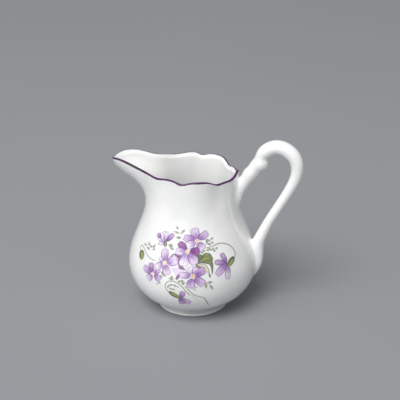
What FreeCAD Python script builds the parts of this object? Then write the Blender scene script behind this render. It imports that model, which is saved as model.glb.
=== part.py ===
import FreeCAD, Part
import math
import os

os.makedirs("parts", exist_ok=True)

# Cream jug. Millimetres. Origin at the centre of the foot on the resting plane, +Z up,
# the spout towards -X, the handle towards +X, the two sides mirror images across Y = 0.

# Body: a round vessel about Z, drawn out into a spout at the top
RIM_Z = 81.8                # height of the edge of the mouth over the handle
BELLY_R = 36.7              # widest outer radius
BELLY_Z = 0.336 * RIM_Z     # height of the widest place
WAIST_R = 26.1              # narrowest outer radius
WAIST_Z = 0.807 * RIM_Z     # height of the narrowest place
NECK_Z = 0.709 * RIM_Z      # above this the wall is led up to the scalloped edge
BASE_R = 0.27 * BELLY_R     # flat round of the underside
BASE_Z = 2.8                # height of that flat above the table
BELLY_FULLNESS = 2.1        # 2 gives an elliptical belly, more a squarer one
WALL = 2.2                  # wall thickness
LIP = 1.7                   # thickness of the rolled edge of the mouth

# Edge of the mouth from the spout round to the handle, one side:
# degrees round from the spout, reach out beyond the waist radius, rise above RIM_Z
RIM_STATIONS = [
    (0.0, 20.0, 2.0),       # tip of the spout
    (8.0, 17.6, 3.5),
    (15.0, 12.9, 4.0),      # crest of the spout's cheek
    (27.0, 4.4, 1.4),
    (40.0, 0.8, 0.1),
    (53.0, -0.3, -0.5),
    (73.0, -0.9, 0.3),      # small scallop
    (82.0, -0.6, -0.2),
    (90.0, -0.6, -1.3),     # dip between the scallops
    (100.0, -0.4, -0.4),
    (110.0, -0.4, 0.0),     # large scallop
    (124.0, -0.9, -0.8),
    (138.0, -1.9, -3.0),    # dip beside the handle
    (149.0, -1.5, -2.7),
    (160.0, -1.1, -2.7),
    (170.0, -0.5, -1.5),
    (180.0, -0.2, 0.0),     # over the handle
]

# How the wall climbs from NECK_Z to the edge, as shares of its rise
SPOUT_SPREAD = 32.0         # degrees round in which the spout fades into the neck
SPOUT_START = 1.8           # pull straight up out of the neck, under the tip
SPOUT_END_OUT = 0.36        # outward pull on reaching the tip
SPOUT_END_UP = 1.14         # upward pull on reaching the tip
NECK_FLARE = 0.04           # outward lean of the plain wall at the edge

# Foot ring, fitted up to the underside of the body
FOOT_R = 20.5               # widest outer radius, low down
FOOT_TREAD_R = FOOT_R - 1.1  # outer radius of the face it stands on
FOOT_INNER_R = FOOT_R - 5.2  # inner radius
FOOT_EDGE = 0.8             # height of the eased bottom edge
FOOT_SHOULDER_Z = 1.5       # above this its outer face runs in
FOOT_COVE_R = FOOT_R - 2.5  # outer radius in the hollow between rim and body
FOOT_COVE_Z = 2.6
FOOT_NECK_R = FOOT_R - 3.0  # outer radius where it meets the body
FOOT_TOP_Z = BASE_Z + 1.3   # height of its top before it is fitted

# Handle: centre line and half thickness at stations down its length
HANDLE_WIDE = 1.06          # half width across, as a share of the half thickness
HEAD = [                    # out from the waist radius, above RIM_Z, half thickness
    (-1.7, -19.0, 1.4),     # lowest end of the head, in the wall
    (-0.9, -15.6, 2.4),
    (0.2, -12.0, 2.7),
    (1.8, -8.0, 3.1),
    (4.0, -4.1, 3.35),
    (5.7, -1.5, 3.55),
    (7.4, 1.2, 3.75),
    (9.2, 4.0, 3.75),       # shoulder of the head
    (11.2, 6.6, 3.85),      # curl under the loop
    (11.9, 9.0, 3.5),       # notch where the loop leaves the head
]
LOOP = [
    (13.1, 11.4, 3.75),
    (15.9, 14.1, 3.85),
    (20.2, 15.6, 3.85),     # crown
    (25.3, 14.4, 3.85),
    (29.8, 10.3, 3.7),
    (31.4, 5.6, 3.4),       # outermost
    (31.0, -0.2, 3.15),
    (28.3, -7.1, 2.9),
    (23.3, -16.5, 2.75),
]
TAIL_TOP_Z = 0.57 * RIM_Z   # height at which the shaft comes down to the belly
TAIL_END_Z = 0.28 * RIM_Z   # lowest end of the tail
TAIL = [                    # share of the way down the tail, out from the wall, half
    (-0.22, 12.8, 2.85),
    (0.0, 8.4, 3.1),
    (0.22, 4.4, 3.35),
    (0.42, 2.5, 3.3),
    (0.62, 1.5, 2.95),
    (0.78, 1.0, 2.4),
    (0.92, 0.4, 1.5),
    (1.0, -0.1, 0.8),
]

# Slip beads along the seams between the handle and the body
SLIP_WIDE = 0.8             # stands out this far from the side of the handle
SLIP_DEEP = 0.9             # and this far from the wall

# Enamel
RIM_LINE_T = 0.12           # thickness of the line on the edge of the mouth
RIM_LINE_START = 12.0       # degrees round the rolled edge, from outside, to the line
RIM_LINE_END = 118.0        # and to its inner border
PRINT_T = 0.10              # thickness of the printed sprays
STEM_WIDE = 1.8             # width of the print along a stem

# Printed spray on one side. Across as a share of BELLY_R, height as a share of RIM_Z,
# radius as a share of BELLY_R.
HEADS = [
    (0.245, 0.628, 0.205),  # top flower
    (0.100, 0.555, 0.21),   # middle flower
    (-0.215, 0.482, 0.195),  # left flower
    (0.230, 0.412, 0.21),   # low flower
    (-0.398, 0.398, 0.14),  # small flower, far left
    (0.640, 0.462, 0.15),   # nodding flower, right
    (-0.220, 0.622, 0.125),  # half open flower, top left
    (0.395, 0.498, 0.13),   # large leaf
    (0.430, 0.432, 0.09),   # its turned end
    (0.045, 0.258, 0.13),   # lowest flower
    (-0.605, 0.475, 0.07),  # bud
]
STEMS = [
    [(-0.605, 0.500), (-0.555, 0.535), (-0.380, 0.476), (-0.215, 0.482)],
    [(-0.398, 0.398), (-0.215, 0.482)],
    [(-0.220, 0.622), (-0.220, 0.550), (-0.165, 0.500)],
    [(0.380, 0.586), (0.610, 0.592), (0.745, 0.520), (0.655, 0.476)],
    [(0.230, 0.412), (-0.110, 0.380), (-0.165, 0.328), (-0.030, 0.268)],
    [(0.055, 0.366), (0.190, 0.280), (0.370, 0.254), (0.408, 0.196)],
]

AROUND = 90                 # points round each row of the body
BOTTOM_ROWS = 8
BELLY_ROWS = 9
NECK_ROWS = 9
HANDLE_POINTS = 16          # points round each section of the handle
SMALL_STEP = 0.001
LID_SHARE = 0.3             # size of the flat top of the filled body, against the mouth
FULL_TURN = 360.0


def vec(x, y, z):
    """A point or direction."""
    return FreeCAD.Vector(x, y, z)


def loop_curve(points):
    """Closed smooth curve through evenly numbered points."""
    curve = Part.BSplineCurve()
    marks = [float(i) for i in range(len(points) + 1)]
    curve.interpolate(Points=points, PeriodicFlag=True, Parameters=marks)
    return curve


def surface_from(columns, ring, line):
    """Surface round like ring and along like line, with the given columns of poles."""
    surface = Part.BSplineSurface()
    surface.buildFromPolesMultsKnots(
        columns,
        ring.getMultiplicities(),
        line.getMultiplicities(),
        ring.getKnots(),
        line.getKnots(),
        True,
        False,
        ring.Degree,
        line.Degree,
    )
    return surface.toShape()


def skin(rows):
    """One smooth face through closed rows of points, given from end to end."""
    pole_rows = [loop_curve(row).getPoles() for row in rows]
    marks = [float(i) for i in range(len(rows))]
    columns = []
    for j in range(len(pole_rows[0])):
        line = Part.BSplineCurve()
        line.interpolate(Points=[row[j] for row in pole_rows], Parameters=marks)
        columns.append(line.getPoles())
    return surface_from(columns, loop_curve(rows[0]), line)


def strip(first, second):
    """Face ruled straight between two closed rows of points."""
    line = Part.BSplineCurve()
    line.buildFromPoles([first[0], second[0]], False, 1)
    pairs = zip(loop_curve(first).getPoles(), loop_curve(second).getPoles())
    return surface_from([[a, b] for a, b in pairs], loop_curve(first), line)


def cap(row):
    """Flat face closing a flat row of points."""
    return Part.Face(Part.Wire([loop_curve(row).toShape()]))


def solid_from(faces):
    """Solid bounded by faces that meet along their edges."""
    group = Part.makeCompound(faces)
    group.sewShape()
    made = Part.Solid(group.Shells[0])
    if made.Volume < 0.0:
        made.reverse()
    return made


def largest(shape):
    """The largest solid of a shape."""
    return max(shape.Solids, key=lambda solid: solid.Volume)


def edge_of_mouth(degrees):
    """Radius and height of the edge of the mouth at angles from the spout."""
    other_side = [(FULL_TURN - a, r, z) for a, r, z in reversed(RIM_STATIONS[1:-1])]
    stations = RIM_STATIONS + other_side
    points = [vec(WAIST_R + r, RIM_Z + z, 0.0) for a, r, z in stations]
    marks = [a for a, r, z in stations] + [FULL_TURN]
    curve = Part.BSplineCurve()
    curve.interpolate(Points=points, PeriodicFlag=True, Parameters=marks)
    return [(curve.value(a).x, curve.value(a).y) for a in degrees]


def body_radius(z):
    """Outer radius of the round part of the body at a height."""
    if z <= BELLY_Z:
        drop = min(1.0, (BELLY_Z - z) / (BELLY_Z - BASE_Z))
        share = (1.0 - drop ** BELLY_FULLNESS) ** (1.0 / BELLY_FULLNESS)
        return BASE_R + (BELLY_R - BASE_R) * share
    t = (z - BELLY_Z) / (WAIST_Z - BELLY_Z)
    return BELLY_R + (WAIST_R - BELLY_R) * t * t * (3.0 - 2.0 * t)


def neck_point(t, angle, radius, height):
    """Radius and height on the neck, t from 0 at NECK_Z to 1 at the edge of the mouth."""
    start = body_radius(NECK_Z)
    lean = (body_radius(NECK_Z + SMALL_STEP) - start) / SMALL_STEP
    spout = math.exp(-(min(angle, FULL_TURN - angle) / SPOUT_SPREAD) ** 2)
    plain = 1.0 - spout
    rise = height - NECK_Z
    start_up = rise * (plain + SPOUT_START * spout)
    start_out = lean * start_up
    end_up = rise * (plain + SPOUT_END_UP * spout)
    end_out = rise * (NECK_FLARE * plain + SPOUT_END_OUT * spout)
    arrived = t * t * (3.0 - 2.0 * t)
    leaving = t * (1.0 - t) ** 2
    arriving = t * t * (t - 1.0)
    r = start + (radius - start) * arrived + leaving * start_out + arriving * end_out
    z = NECK_Z + rise * arrived + leaving * start_up + arriving * end_up
    return r, z


def outer_rows():
    """Rows of points over the outside of the body, from the underside to the edge."""
    degrees = [FULL_TURN * i / AROUND for i in range(AROUND)]
    edge = edge_of_mouth(degrees)
    table = []
    for k in range(BOTTOM_ROWS):
        turn = 0.5 * math.pi * k / BOTTOM_ROWS
        out = math.sin(turn) ** (2.0 / BELLY_FULLNESS)
        down = math.cos(turn) ** (2.0 / BELLY_FULLNESS)
        r = BASE_R + (BELLY_R - BASE_R) * out
        table.append([(r, BELLY_Z - (BELLY_Z - BASE_Z) * down)] * AROUND)
    for k in range(BELLY_ROWS):
        z = BELLY_Z + (NECK_Z - BELLY_Z) * k / BELLY_ROWS
        table.append([(body_radius(z), z)] * AROUND)
    for k in range(NECK_ROWS + 1):
        t = k / NECK_ROWS
        table.append([neck_point(t, a, r, z) for a, (r, z) in zip(degrees, edge)])
    made = []
    for line in table:
        row = []
        for a, (r, z) in zip(degrees, line):
            turn = math.pi + math.radians(a)
            row.append(vec(r * math.cos(turn), r * math.sin(turn), z))
        made.append(row)
    return made


def row_frame(rows, i):
    """Outward directions, and directions up the wall, at the points of row i."""
    above = rows[min(i + 1, len(rows) - 1)]
    below = rows[max(i - 1, 0)]
    outward = []
    upward = []
    for j in range(AROUND):
        along = rows[i][(j + 1) % AROUND] - rows[i][j - 1]
        out = along.cross(above[j] - below[j]).normalize()
        outward.append(out)
        upward.append(out.cross(along).normalize())
    return outward, upward


def raised(rows, distance):
    """The rows moved outward by a distance."""
    made = []
    for i in range(len(rows)):
        outward = row_frame(rows, i)[0]
        made.append([p + n * distance for p, n in zip(rows[i], outward)])
    return made


def inner_rows(rows):
    """Rows over the inside of the wall, thinning to the lip along the last two."""
    made = raised(rows, -WALL)
    thin = raised(rows, -LIP)
    half = raised(rows, -0.5 * (WALL + LIP))
    return made[:-2] + [half[-2], thin[-1]]


def lip_rows(rows, angles, extra):
    """Rows round the rolled edge at angles from its outer side, swollen by extra."""
    outward, upward = row_frame(rows, len(rows) - 1)
    middle = [p - n * (0.5 * LIP) for p, n in zip(rows[-1], outward)]
    made = []
    for angle in angles:
        c = math.cos(math.radians(angle)) * (0.5 * LIP + extra)
        s = math.sin(math.radians(angle)) * (0.5 * LIP + extra)
        made.append([p + n * c + u * s for p, n, u in zip(middle, outward, upward)])
    return made


def lip_bands():
    """Angles round the rolled edge: its outer side, under the line, its inner side."""
    stops = [0.0, RIM_LINE_START, RIM_LINE_END, 180.0]
    bands = []
    for a, b in zip(stops, stops[1:]):
        bands.append([a + (b - a) * k / 3.0 for k in range(4)])
    return bands


def jug_body(rows):
    """The cast hollow body, with its spout and rolled scalloped edge."""
    inside = inner_rows(rows)
    faces = [skin(rows), skin(inside), cap(rows[0]), cap(inside[0])]
    faces += [skin(lip_rows(rows, band, 0.0)) for band in lip_bands()]
    return solid_from(faces)


def filled_body(rows):
    """The body as if it were full, to trim what stands against its outside."""
    lid = [vec(LID_SHARE * p.x, LID_SHARE * p.y, RIM_Z) for p in rows[-1]]
    return solid_from([skin(rows), strip(rows[-1], lid), cap(rows[0]), cap(lid)])


def rim_line(rows):
    """The enamel line along the outer side and the crest of the rolled edge."""
    under = lip_rows(rows, lip_bands()[1], 0.0)
    over = lip_rows(rows, lip_bands()[1], RIM_LINE_T)
    sides = [strip(under[0], over[0]), strip(under[-1], over[-1])]
    return solid_from([skin(under), skin(over)] + sides)


def foot_ring(filled):
    """The foot ring, fitted up to the underside of the body."""
    outline = [
        vec(FOOT_INNER_R, 0.0, 0.0),
        vec(FOOT_TREAD_R, 0.0, 0.0),
        vec(FOOT_R, 0.0, FOOT_EDGE),
        vec(FOOT_R, 0.0, FOOT_SHOULDER_Z),
        vec(FOOT_COVE_R, 0.0, FOOT_COVE_Z),
        vec(FOOT_NECK_R, 0.0, FOOT_TOP_Z),
        vec(FOOT_INNER_R, 0.0, FOOT_TOP_Z),
    ]
    section = Part.Face(Part.makePolygon(outline + outline[:1]))
    ring = section.revolve(vec(0, 0, 0), vec(0, 0, 1), FULL_TURN)
    return largest(ring.cut(filled))


def handle_stations():
    """Centre points and half thicknesses down the handle, from head to tail."""
    made = [(vec(WAIST_R + x, 0, RIM_Z + z), half) for x, z, half in HEAD + LOOP]
    for share, out, half in TAIL:
        z = TAIL_TOP_Z + (TAIL_END_Z - TAIL_TOP_Z) * share
        made.append((vec(body_radius(z) + out, 0, z), half))
    return made


def handle_rows(first, last, swell):
    """Sections square to the handle's centre line, from station first to last."""
    stations = handle_stations()
    path = Part.BSplineCurve()
    path.interpolate(Points=[p for p, half in stations])
    across = vec(0, 1, 0)
    made = []
    for p, half in stations[first:last]:
        along = path.tangent(path.parameter(p))[0]
        square = along.cross(across).normalize()
        row = []
        for k in range(HANDLE_POINTS):
            turn = 2.0 * math.pi * k / HANDLE_POINTS
            thick = square * ((half + swell) * math.cos(turn))
            wide = across * ((half * HANDLE_WIDE + swell) * math.sin(turn))
            row.append(p + thick + wide)
        made.append(row)
    return made


def tube(rows):
    """Solid through sections, with flat ends."""
    return solid_from([skin(rows), cap(rows[0]), cap(rows[-1])])


def slip_bead(first, last, bare_handle, layer):
    """Bead of slip round one end of the handle, where it is stuck to the wall."""
    swollen = tube(handle_rows(first, last, SLIP_WIDE))
    return largest(swollen.common(layer).cut(bare_handle))


def wall_layer(rows, thickness):
    """A layer of even thickness over the whole outside of the body."""
    over = raised(rows, thickness)
    sides = [strip(rows[0], over[0]), strip(rows[-1], over[-1])]
    return solid_from([skin(rows), skin(over)] + sides)


def spray_punch(side):
    """The outline of the printed spray, drawn out along Y through one side of the jug."""
    pieces = []
    for x, z, r in HEADS:
        middle = vec(BELLY_R * x, 0, RIM_Z * z)
        ring = Part.Circle(middle, vec(0, 1, 0), BELLY_R * r)
        pieces.append(Part.Face(Part.Wire(ring.toShape())))
    for bends in STEMS:
        points = [vec(BELLY_R * x, 0, RIM_Z * z) for x, z in bends]
        for a, b in zip(points, points[1:]):
            along = (b - a).normalize() * (0.5 * STEM_WIDE)
            half = along.cross(vec(0, 1, 0))
            corners = [a - along - half, b + along - half, b + along + half, a - along + half]
            pieces.append(Part.Face(Part.makePolygon(corners + corners[:1])))
    prisms = [piece.extrude(vec(0, side * 1.2 * BELLY_R, 0)) for piece in pieces]
    return prisms[0].multiFuse(prisms[1:]).removeSplitter()


def transfer(rows, side):
    """A printed spray, fired on to one side of the body."""
    return largest(wall_layer(rows, PRINT_T).common(spray_punch(side)))


if __name__ == "__main__":
    wall = outer_rows()
    full = filled_body(wall)
    seam_layer = wall_layer(wall, SLIP_DEEP)
    count = len(handle_stations())
    bare = tube(handle_rows(0, count, 0.0))
    nodes = {
        "jug_body": jug_body(wall),
        "foot_ring": foot_ring(full),
        "handle": largest(bare.cut(full)),
        "upper_slip_joint": slip_bead(0, len(HEAD), bare, seam_layer),
        "lower_slip_joint": slip_bead(len(HEAD) + len(LOOP), count, bare, seam_layer),
        "rim_line": rim_line(wall),
        "front_transfer": transfer(wall, -1.0),
        "back_transfer": transfer(wall, 1.0),
    }
    for name, shape in nodes.items():
        print(name, shape.ShapeType, len(shape.Solids), shape.isValid(), round(shape.Volume, 1))
        shape.exportStep("parts/" + name + ".step")
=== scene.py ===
"""Looks of a porcelain cream jug: glazed body, handle and foot, purple rim line and printed violets.

Lengths in the classes are millimetres in the row frame: origin under the middle of the foot, +Z up,
+X to the handle, the spout towards -X and the front spray towards -Y. Meshes are written in metres.
"""

import logging
import math
from dataclasses import dataclass, field
from enum import Enum

import bpy
import numpy as np
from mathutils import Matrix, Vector


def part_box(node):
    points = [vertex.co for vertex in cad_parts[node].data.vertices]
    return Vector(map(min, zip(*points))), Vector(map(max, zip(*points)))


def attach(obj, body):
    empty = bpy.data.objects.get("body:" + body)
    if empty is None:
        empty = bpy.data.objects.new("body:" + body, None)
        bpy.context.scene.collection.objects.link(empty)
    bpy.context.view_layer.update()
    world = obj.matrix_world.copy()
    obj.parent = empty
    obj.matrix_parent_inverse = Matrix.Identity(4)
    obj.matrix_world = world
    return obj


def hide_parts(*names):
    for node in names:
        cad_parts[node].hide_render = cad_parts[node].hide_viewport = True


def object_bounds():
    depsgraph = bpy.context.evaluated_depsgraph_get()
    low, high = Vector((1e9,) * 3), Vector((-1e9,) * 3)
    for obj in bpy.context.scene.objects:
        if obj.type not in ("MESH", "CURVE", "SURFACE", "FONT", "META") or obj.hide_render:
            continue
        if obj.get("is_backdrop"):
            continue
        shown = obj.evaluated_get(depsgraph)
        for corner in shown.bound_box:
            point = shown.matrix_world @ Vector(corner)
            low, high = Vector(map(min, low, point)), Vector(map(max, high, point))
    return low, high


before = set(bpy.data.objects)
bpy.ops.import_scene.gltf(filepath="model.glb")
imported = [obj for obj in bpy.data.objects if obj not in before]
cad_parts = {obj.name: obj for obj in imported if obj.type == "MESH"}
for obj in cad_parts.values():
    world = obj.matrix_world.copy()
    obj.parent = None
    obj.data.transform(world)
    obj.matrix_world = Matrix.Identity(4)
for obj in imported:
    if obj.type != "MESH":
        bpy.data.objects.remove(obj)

MM = 0.001
FULL_TURN = 2.0 * math.pi
SEED = 7
SMOOTH_UNDER = 50.0         # degrees; sharper edges than this stay sharp
WELD = 0.004 * MM
log = logging.getLogger("cream_jug")

Array = np.ndarray
Piece = bpy.types.Object
Finish = bpy.types.Material
Node = bpy.types.Node
Rgb = tuple[int, int, int]
Triple = tuple[float, float, float]
Fold = tuple[float, float, float, float]
Spot = tuple[float, float]


# ---------------------------------------------------------------- small mathematics


def ease(low: float, high: float, value: Array) -> Array:
    """Smooth step from 0 at low to 1 at high.

    Args:
        low: Value at which the step begins.
        high: Value at which it is complete.
        value: Where it is wanted.

    Returns:
        The step at each value.
    """
    share = np.clip((value - low) / (high - low), 0.0, 1.0)
    return share * share * (3.0 - 2.0 * share)


def smooth_through(knots: Array, values: Array, at: Array) -> Array:
    """Natural cubic spline through points.

    Args:
        knots: Rising parameter of each point.
        values: One row of values for each point.
        at: Parameters at which the spline is wanted.

    Returns:
        One row of values for each parameter.
    """
    count = len(knots)
    gap = np.diff(knots)
    slope = np.diff(values, axis=0) / gap[:, None]
    system = np.eye(count)
    right = np.zeros_like(values)
    for i in range(1, count - 1):
        system[i, i - 1 : i + 2] = gap[i - 1], 2.0 * (gap[i - 1] + gap[i]), gap[i]
        right[i] = 6.0 * (slope[i] - slope[i - 1])
    bend = np.linalg.solve(system, right)
    left = np.clip(np.searchsorted(knots, at) - 1, 0, count - 2)
    wide = gap[left][:, None]
    past = (at - knots[left])[:, None]
    short = wide - past
    curved = (bend[left] * short**3 + bend[left + 1] * past**3) / (6.0 * wide)
    return (
        curved
        + (values[left] / wide - bend[left] * wide / 6.0) * short
        + (values[left + 1] / wide - bend[left + 1] * wide / 6.0) * past
    )


def unit(vectors: Array) -> Array:
    """Vectors along the last axis, made one long."""
    return vectors / np.maximum(np.linalg.norm(vectors, axis=-1, keepdims=True), 1e-12)


def ripple(angle: Array, waves: tuple[int, ...], seed: int) -> Array:
    """Sum of sine waves round a circle, repeatable from its seed.

    Args:
        angle: Angles round the circle, in radians.
        waves: How many times each sine goes up and down in a turn.
        seed: Seed of the phases.

    Returns:
        A wandering value of about -1 to 1 at each angle.
    """
    phases = np.random.default_rng(seed).uniform(0.0, FULL_TURN, len(waves))
    total = sum(np.sin(wave * angle + phase) for wave, phase in zip(waves, phases))
    return total / math.sqrt(len(waves))


def ink(red: int, green: int, blue: int) -> Array:
    """A colour as a painter's chart states it, 0 to 255, made linear."""
    share = np.array((red, green, blue), float) / 255.0
    return np.where(share <= 0.04045, share / 12.92, ((share + 0.055) / 1.055) ** 2.4)


# ---------------------------------------------------------------- modelling by operator


def deselect_everything() -> None:
    """Leaves nothing selected, so that an operator acts on one piece only."""
    bpy.ops.object.select_all(action="DESELECT")


def pick(piece: Piece) -> None:
    """Makes one piece the only one selected, and the active one."""
    deselect_everything()
    bpy.context.view_layer.objects.active = piece
    piece.select_set(True)


def open_for_edit(piece: Piece) -> None:
    """Opens one piece in edit mode with all of it selected.

    Args:
        piece: The piece to work on.
    """
    pick(piece)
    bpy.ops.object.mode_set(mode="EDIT")
    bpy.ops.mesh.select_all(action="SELECT")


def close_edit() -> None:
    """Goes back to object mode."""
    bpy.ops.object.mode_set(mode="OBJECT")


def settle(piece: Piece) -> None:
    """Puts a piece's place, turn and size into its mesh.

    Args:
        piece: The piece, in object mode.
    """
    pick(piece)
    bpy.ops.object.transform_apply(location=True, rotation=True, scale=True)


def points_of(piece: Piece) -> Array:
    """A piece's vertices in millimetres."""
    flat = np.empty(len(piece.data.vertices) * 3)
    piece.data.vertices.foreach_get("co", flat)
    return flat.reshape(-1, 3) / MM


def move_points(piece: Piece, points: Array) -> None:
    """Moves a piece's vertices.

    Args:
        piece: The piece.
        points: New places in millimetres, one row for each vertex.
    """
    piece.data.vertices.foreach_set("co", (points * MM).ravel())
    piece.data.update()


def outline_of(points: Array) -> Array:
    """Radius from the jug's axis and height of points."""
    return np.stack([np.hypot(points[..., 0], points[..., 1]), points[..., 2]], axis=-1)


def drawn_line(name: str, line: Array) -> Piece:
    """Draws an open line of edges in the XZ plane, one extrusion at a time.

    Args:
        name: Name of the new piece.
        line: Radius and height of each point, in millimetres.

    Returns:
        The piece, a chain of edges in the order of the line.
    """
    deselect_everything()
    start = (line[0, 0] * MM, 0.0, line[0, 1] * MM)
    bpy.ops.mesh.primitive_plane_add(size=MM, location=start)
    piece = bpy.context.object
    piece.name = piece.data.name = name
    open_for_edit(piece)
    bpy.ops.mesh.merge(type="CENTER")
    for out, up in np.diff(line, axis=0) * MM:
        bpy.ops.mesh.extrude_region_move(TRANSFORM_OT_translate={"value": (out, 0.0, up)})
    close_edit()
    settle(piece)
    return piece


def thrown(name: str, line: Array, steps: int) -> tuple[Piece, Array, Array]:
    """Spins a line right round the jug's axis, as on a potter's wheel.

    Args:
        name: Name of the new piece.
        line: Radius and height of each row, in millimetres.
        steps: How many columns the turn has.

    Returns:
        The closed piece, and for each of its vertices the row and the column that it belongs to.
    """
    piece = drawn_line(name, line)
    open_for_edit(piece)
    bpy.ops.mesh.spin(steps=steps, angle=FULL_TURN, center=(0.0, 0.0, 0.0), axis=(0.0, 0.0, 1.0))
    bpy.ops.mesh.select_all(action="SELECT")
    bpy.ops.mesh.remove_doubles(threshold=WELD)
    bpy.ops.mesh.normals_make_consistent(inside=False)
    close_edit()
    points = points_of(piece)
    place = outline_of(points)
    rows = np.concatenate(
        [
            np.argmin(((part[:, None, :] - line[None]) ** 2).sum(axis=2), axis=1)
            for part in np.array_split(place, 1 + len(place) // 4096)
        ]
    )
    turn = np.arctan2(points[:, 1], points[:, 0])
    columns = np.rint(turn / FULL_TURN * steps).astype(int) % steps
    return piece, rows, columns


def finished(piece: Piece, slot: str, finish: Finish, *nodes: str) -> None:
    """Shades a piece smooth, gives it its finish and ties it to the CAD model.

    Args:
        piece: The new piece.
        slot: The record's material slot it takes its finish from; not used.
        finish: Its material.
        nodes: The CAD nodes it stands for.
    """
    pick(piece)
    bpy.ops.object.shade_smooth_by_angle(angle=math.radians(SMOOTH_UNDER))
    piece.data.materials.clear()
    piece.data.materials.append(finish)
    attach(piece, "root")
    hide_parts(*nodes)
    log.info("%s: %d vertices, %d faces", piece.name, len(piece.data.vertices), len(piece.data.polygons))


# ---------------------------------------------------------------- finishes


GLASS_IOR = 1.52


class Sketch:
    """A material's node tree, with short ways to add and join nodes."""

    def __init__(self, name: str) -> None:
        """Starts an empty material with a Principled shader."""
        self.material = bpy.data.materials.new(name)
        self.material.use_nodes = True
        self.tree = self.material.node_tree
        self.tree.nodes.clear()
        self.shader = self.add("ShaderNodeBsdfPrincipled")
        output = self.add("ShaderNodeOutputMaterial")
        self.join(self.shader, "BSDF", output, "Surface")
        self.coordinates = self.add("ShaderNodeTexCoord")

    def add(self, kind: str, **settings: object) -> Node:
        """Adds a node.

        Args:
            kind: Blender's name for the kind of node.
            settings: Its properties.

        Returns:
            The node.
        """
        node = self.tree.nodes.new(kind)
        for key, value in settings.items():
            setattr(node, key, value)
        return node

    def join(self, source: Node, out: str, target: Node, into: str | int) -> None:
        """Joins an output to an input."""
        self.tree.links.new(source.outputs[out], target.inputs[into])

    def give(self, values: dict[str, object]) -> None:
        """Sets constants on the shader's own sockets."""
        for socket, value in values.items():
            self.shader.inputs[socket].default_value = value

    def bump(self, height: Node, depth: float, strength: float) -> Node:
        """Raises the surface by a texture.

        Args:
            height: The noise that gives the height.
            depth: How high it stands, in millimetres.
            strength: Share of it that shows.

        Returns:
            The bump node.
        """
        node = self.add("ShaderNodeBump")
        node.inputs["Strength"].default_value = strength
        node.inputs["Distance"].default_value = depth * MM
        self.join(height, "Fac", node, "Height")
        return node

    def noise(self, scale: float, detail: float, rough: float = 0.5) -> Node:
        """Noise over the piece's own coordinates.

        Args:
            scale: Bumps to the metre, about.
            detail: How many finer layers it has.
            rough: How strong the finer layers are.

        Returns:
            The noise node.
        """
        node = self.add("ShaderNodeTexNoise")
        node.inputs["Scale"].default_value = scale
        node.inputs["Detail"].default_value = detail
        node.inputs["Roughness"].default_value = rough
        self.join(self.coordinates, "Object", node, "Vector")
        return node

    def spread(self, source: Node, out: str, span: tuple[float, float, float, float]) -> Node:
        """Maps a value from one range to another.

        Args:
            source: The node that gives the value.
            out: The name of its output.
            span: Lowest and highest value in, then lowest and highest value out.

        Returns:
            The mapping node.
        """
        node = self.add("ShaderNodeMapRange", clamp=True)
        for key, value in zip(("From Min", "From Max", "To Min", "To Max"), span):
            node.inputs[key].default_value = value
        self.join(source, out, node, "Value")
        return node

    def blend(self, first: object, second: object, share: tuple[Node, str]) -> Node:
        """Mixes two colours.

        Args:
            first: Colour, or (node, output), shown at share 0.
            second: Colour, or (node, output), shown at share 1.
            share: The node and output that give the share.

        Returns:
            The mixing node, whose result is its output "Result".
        """
        node = self.add("ShaderNodeMix", data_type="RGBA")
        self.tree.links.new(share[0].outputs[share[1]], node.inputs[0])
        for socket, given in ((node.inputs[6], first), (node.inputs[7], second)):
            if isinstance(given, tuple) and isinstance(given[0], Node):
                self.tree.links.new(given[0].outputs[given[1]], socket)
            else:
                socket.default_value = (*given[:3], 1.0)
        return node

    def result_into(self, mixed: Node, target: Node, into: str) -> None:
        """Joins a colour mix to an input."""
        self.tree.links.new(mixed.outputs[2], target.inputs[into])


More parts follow.
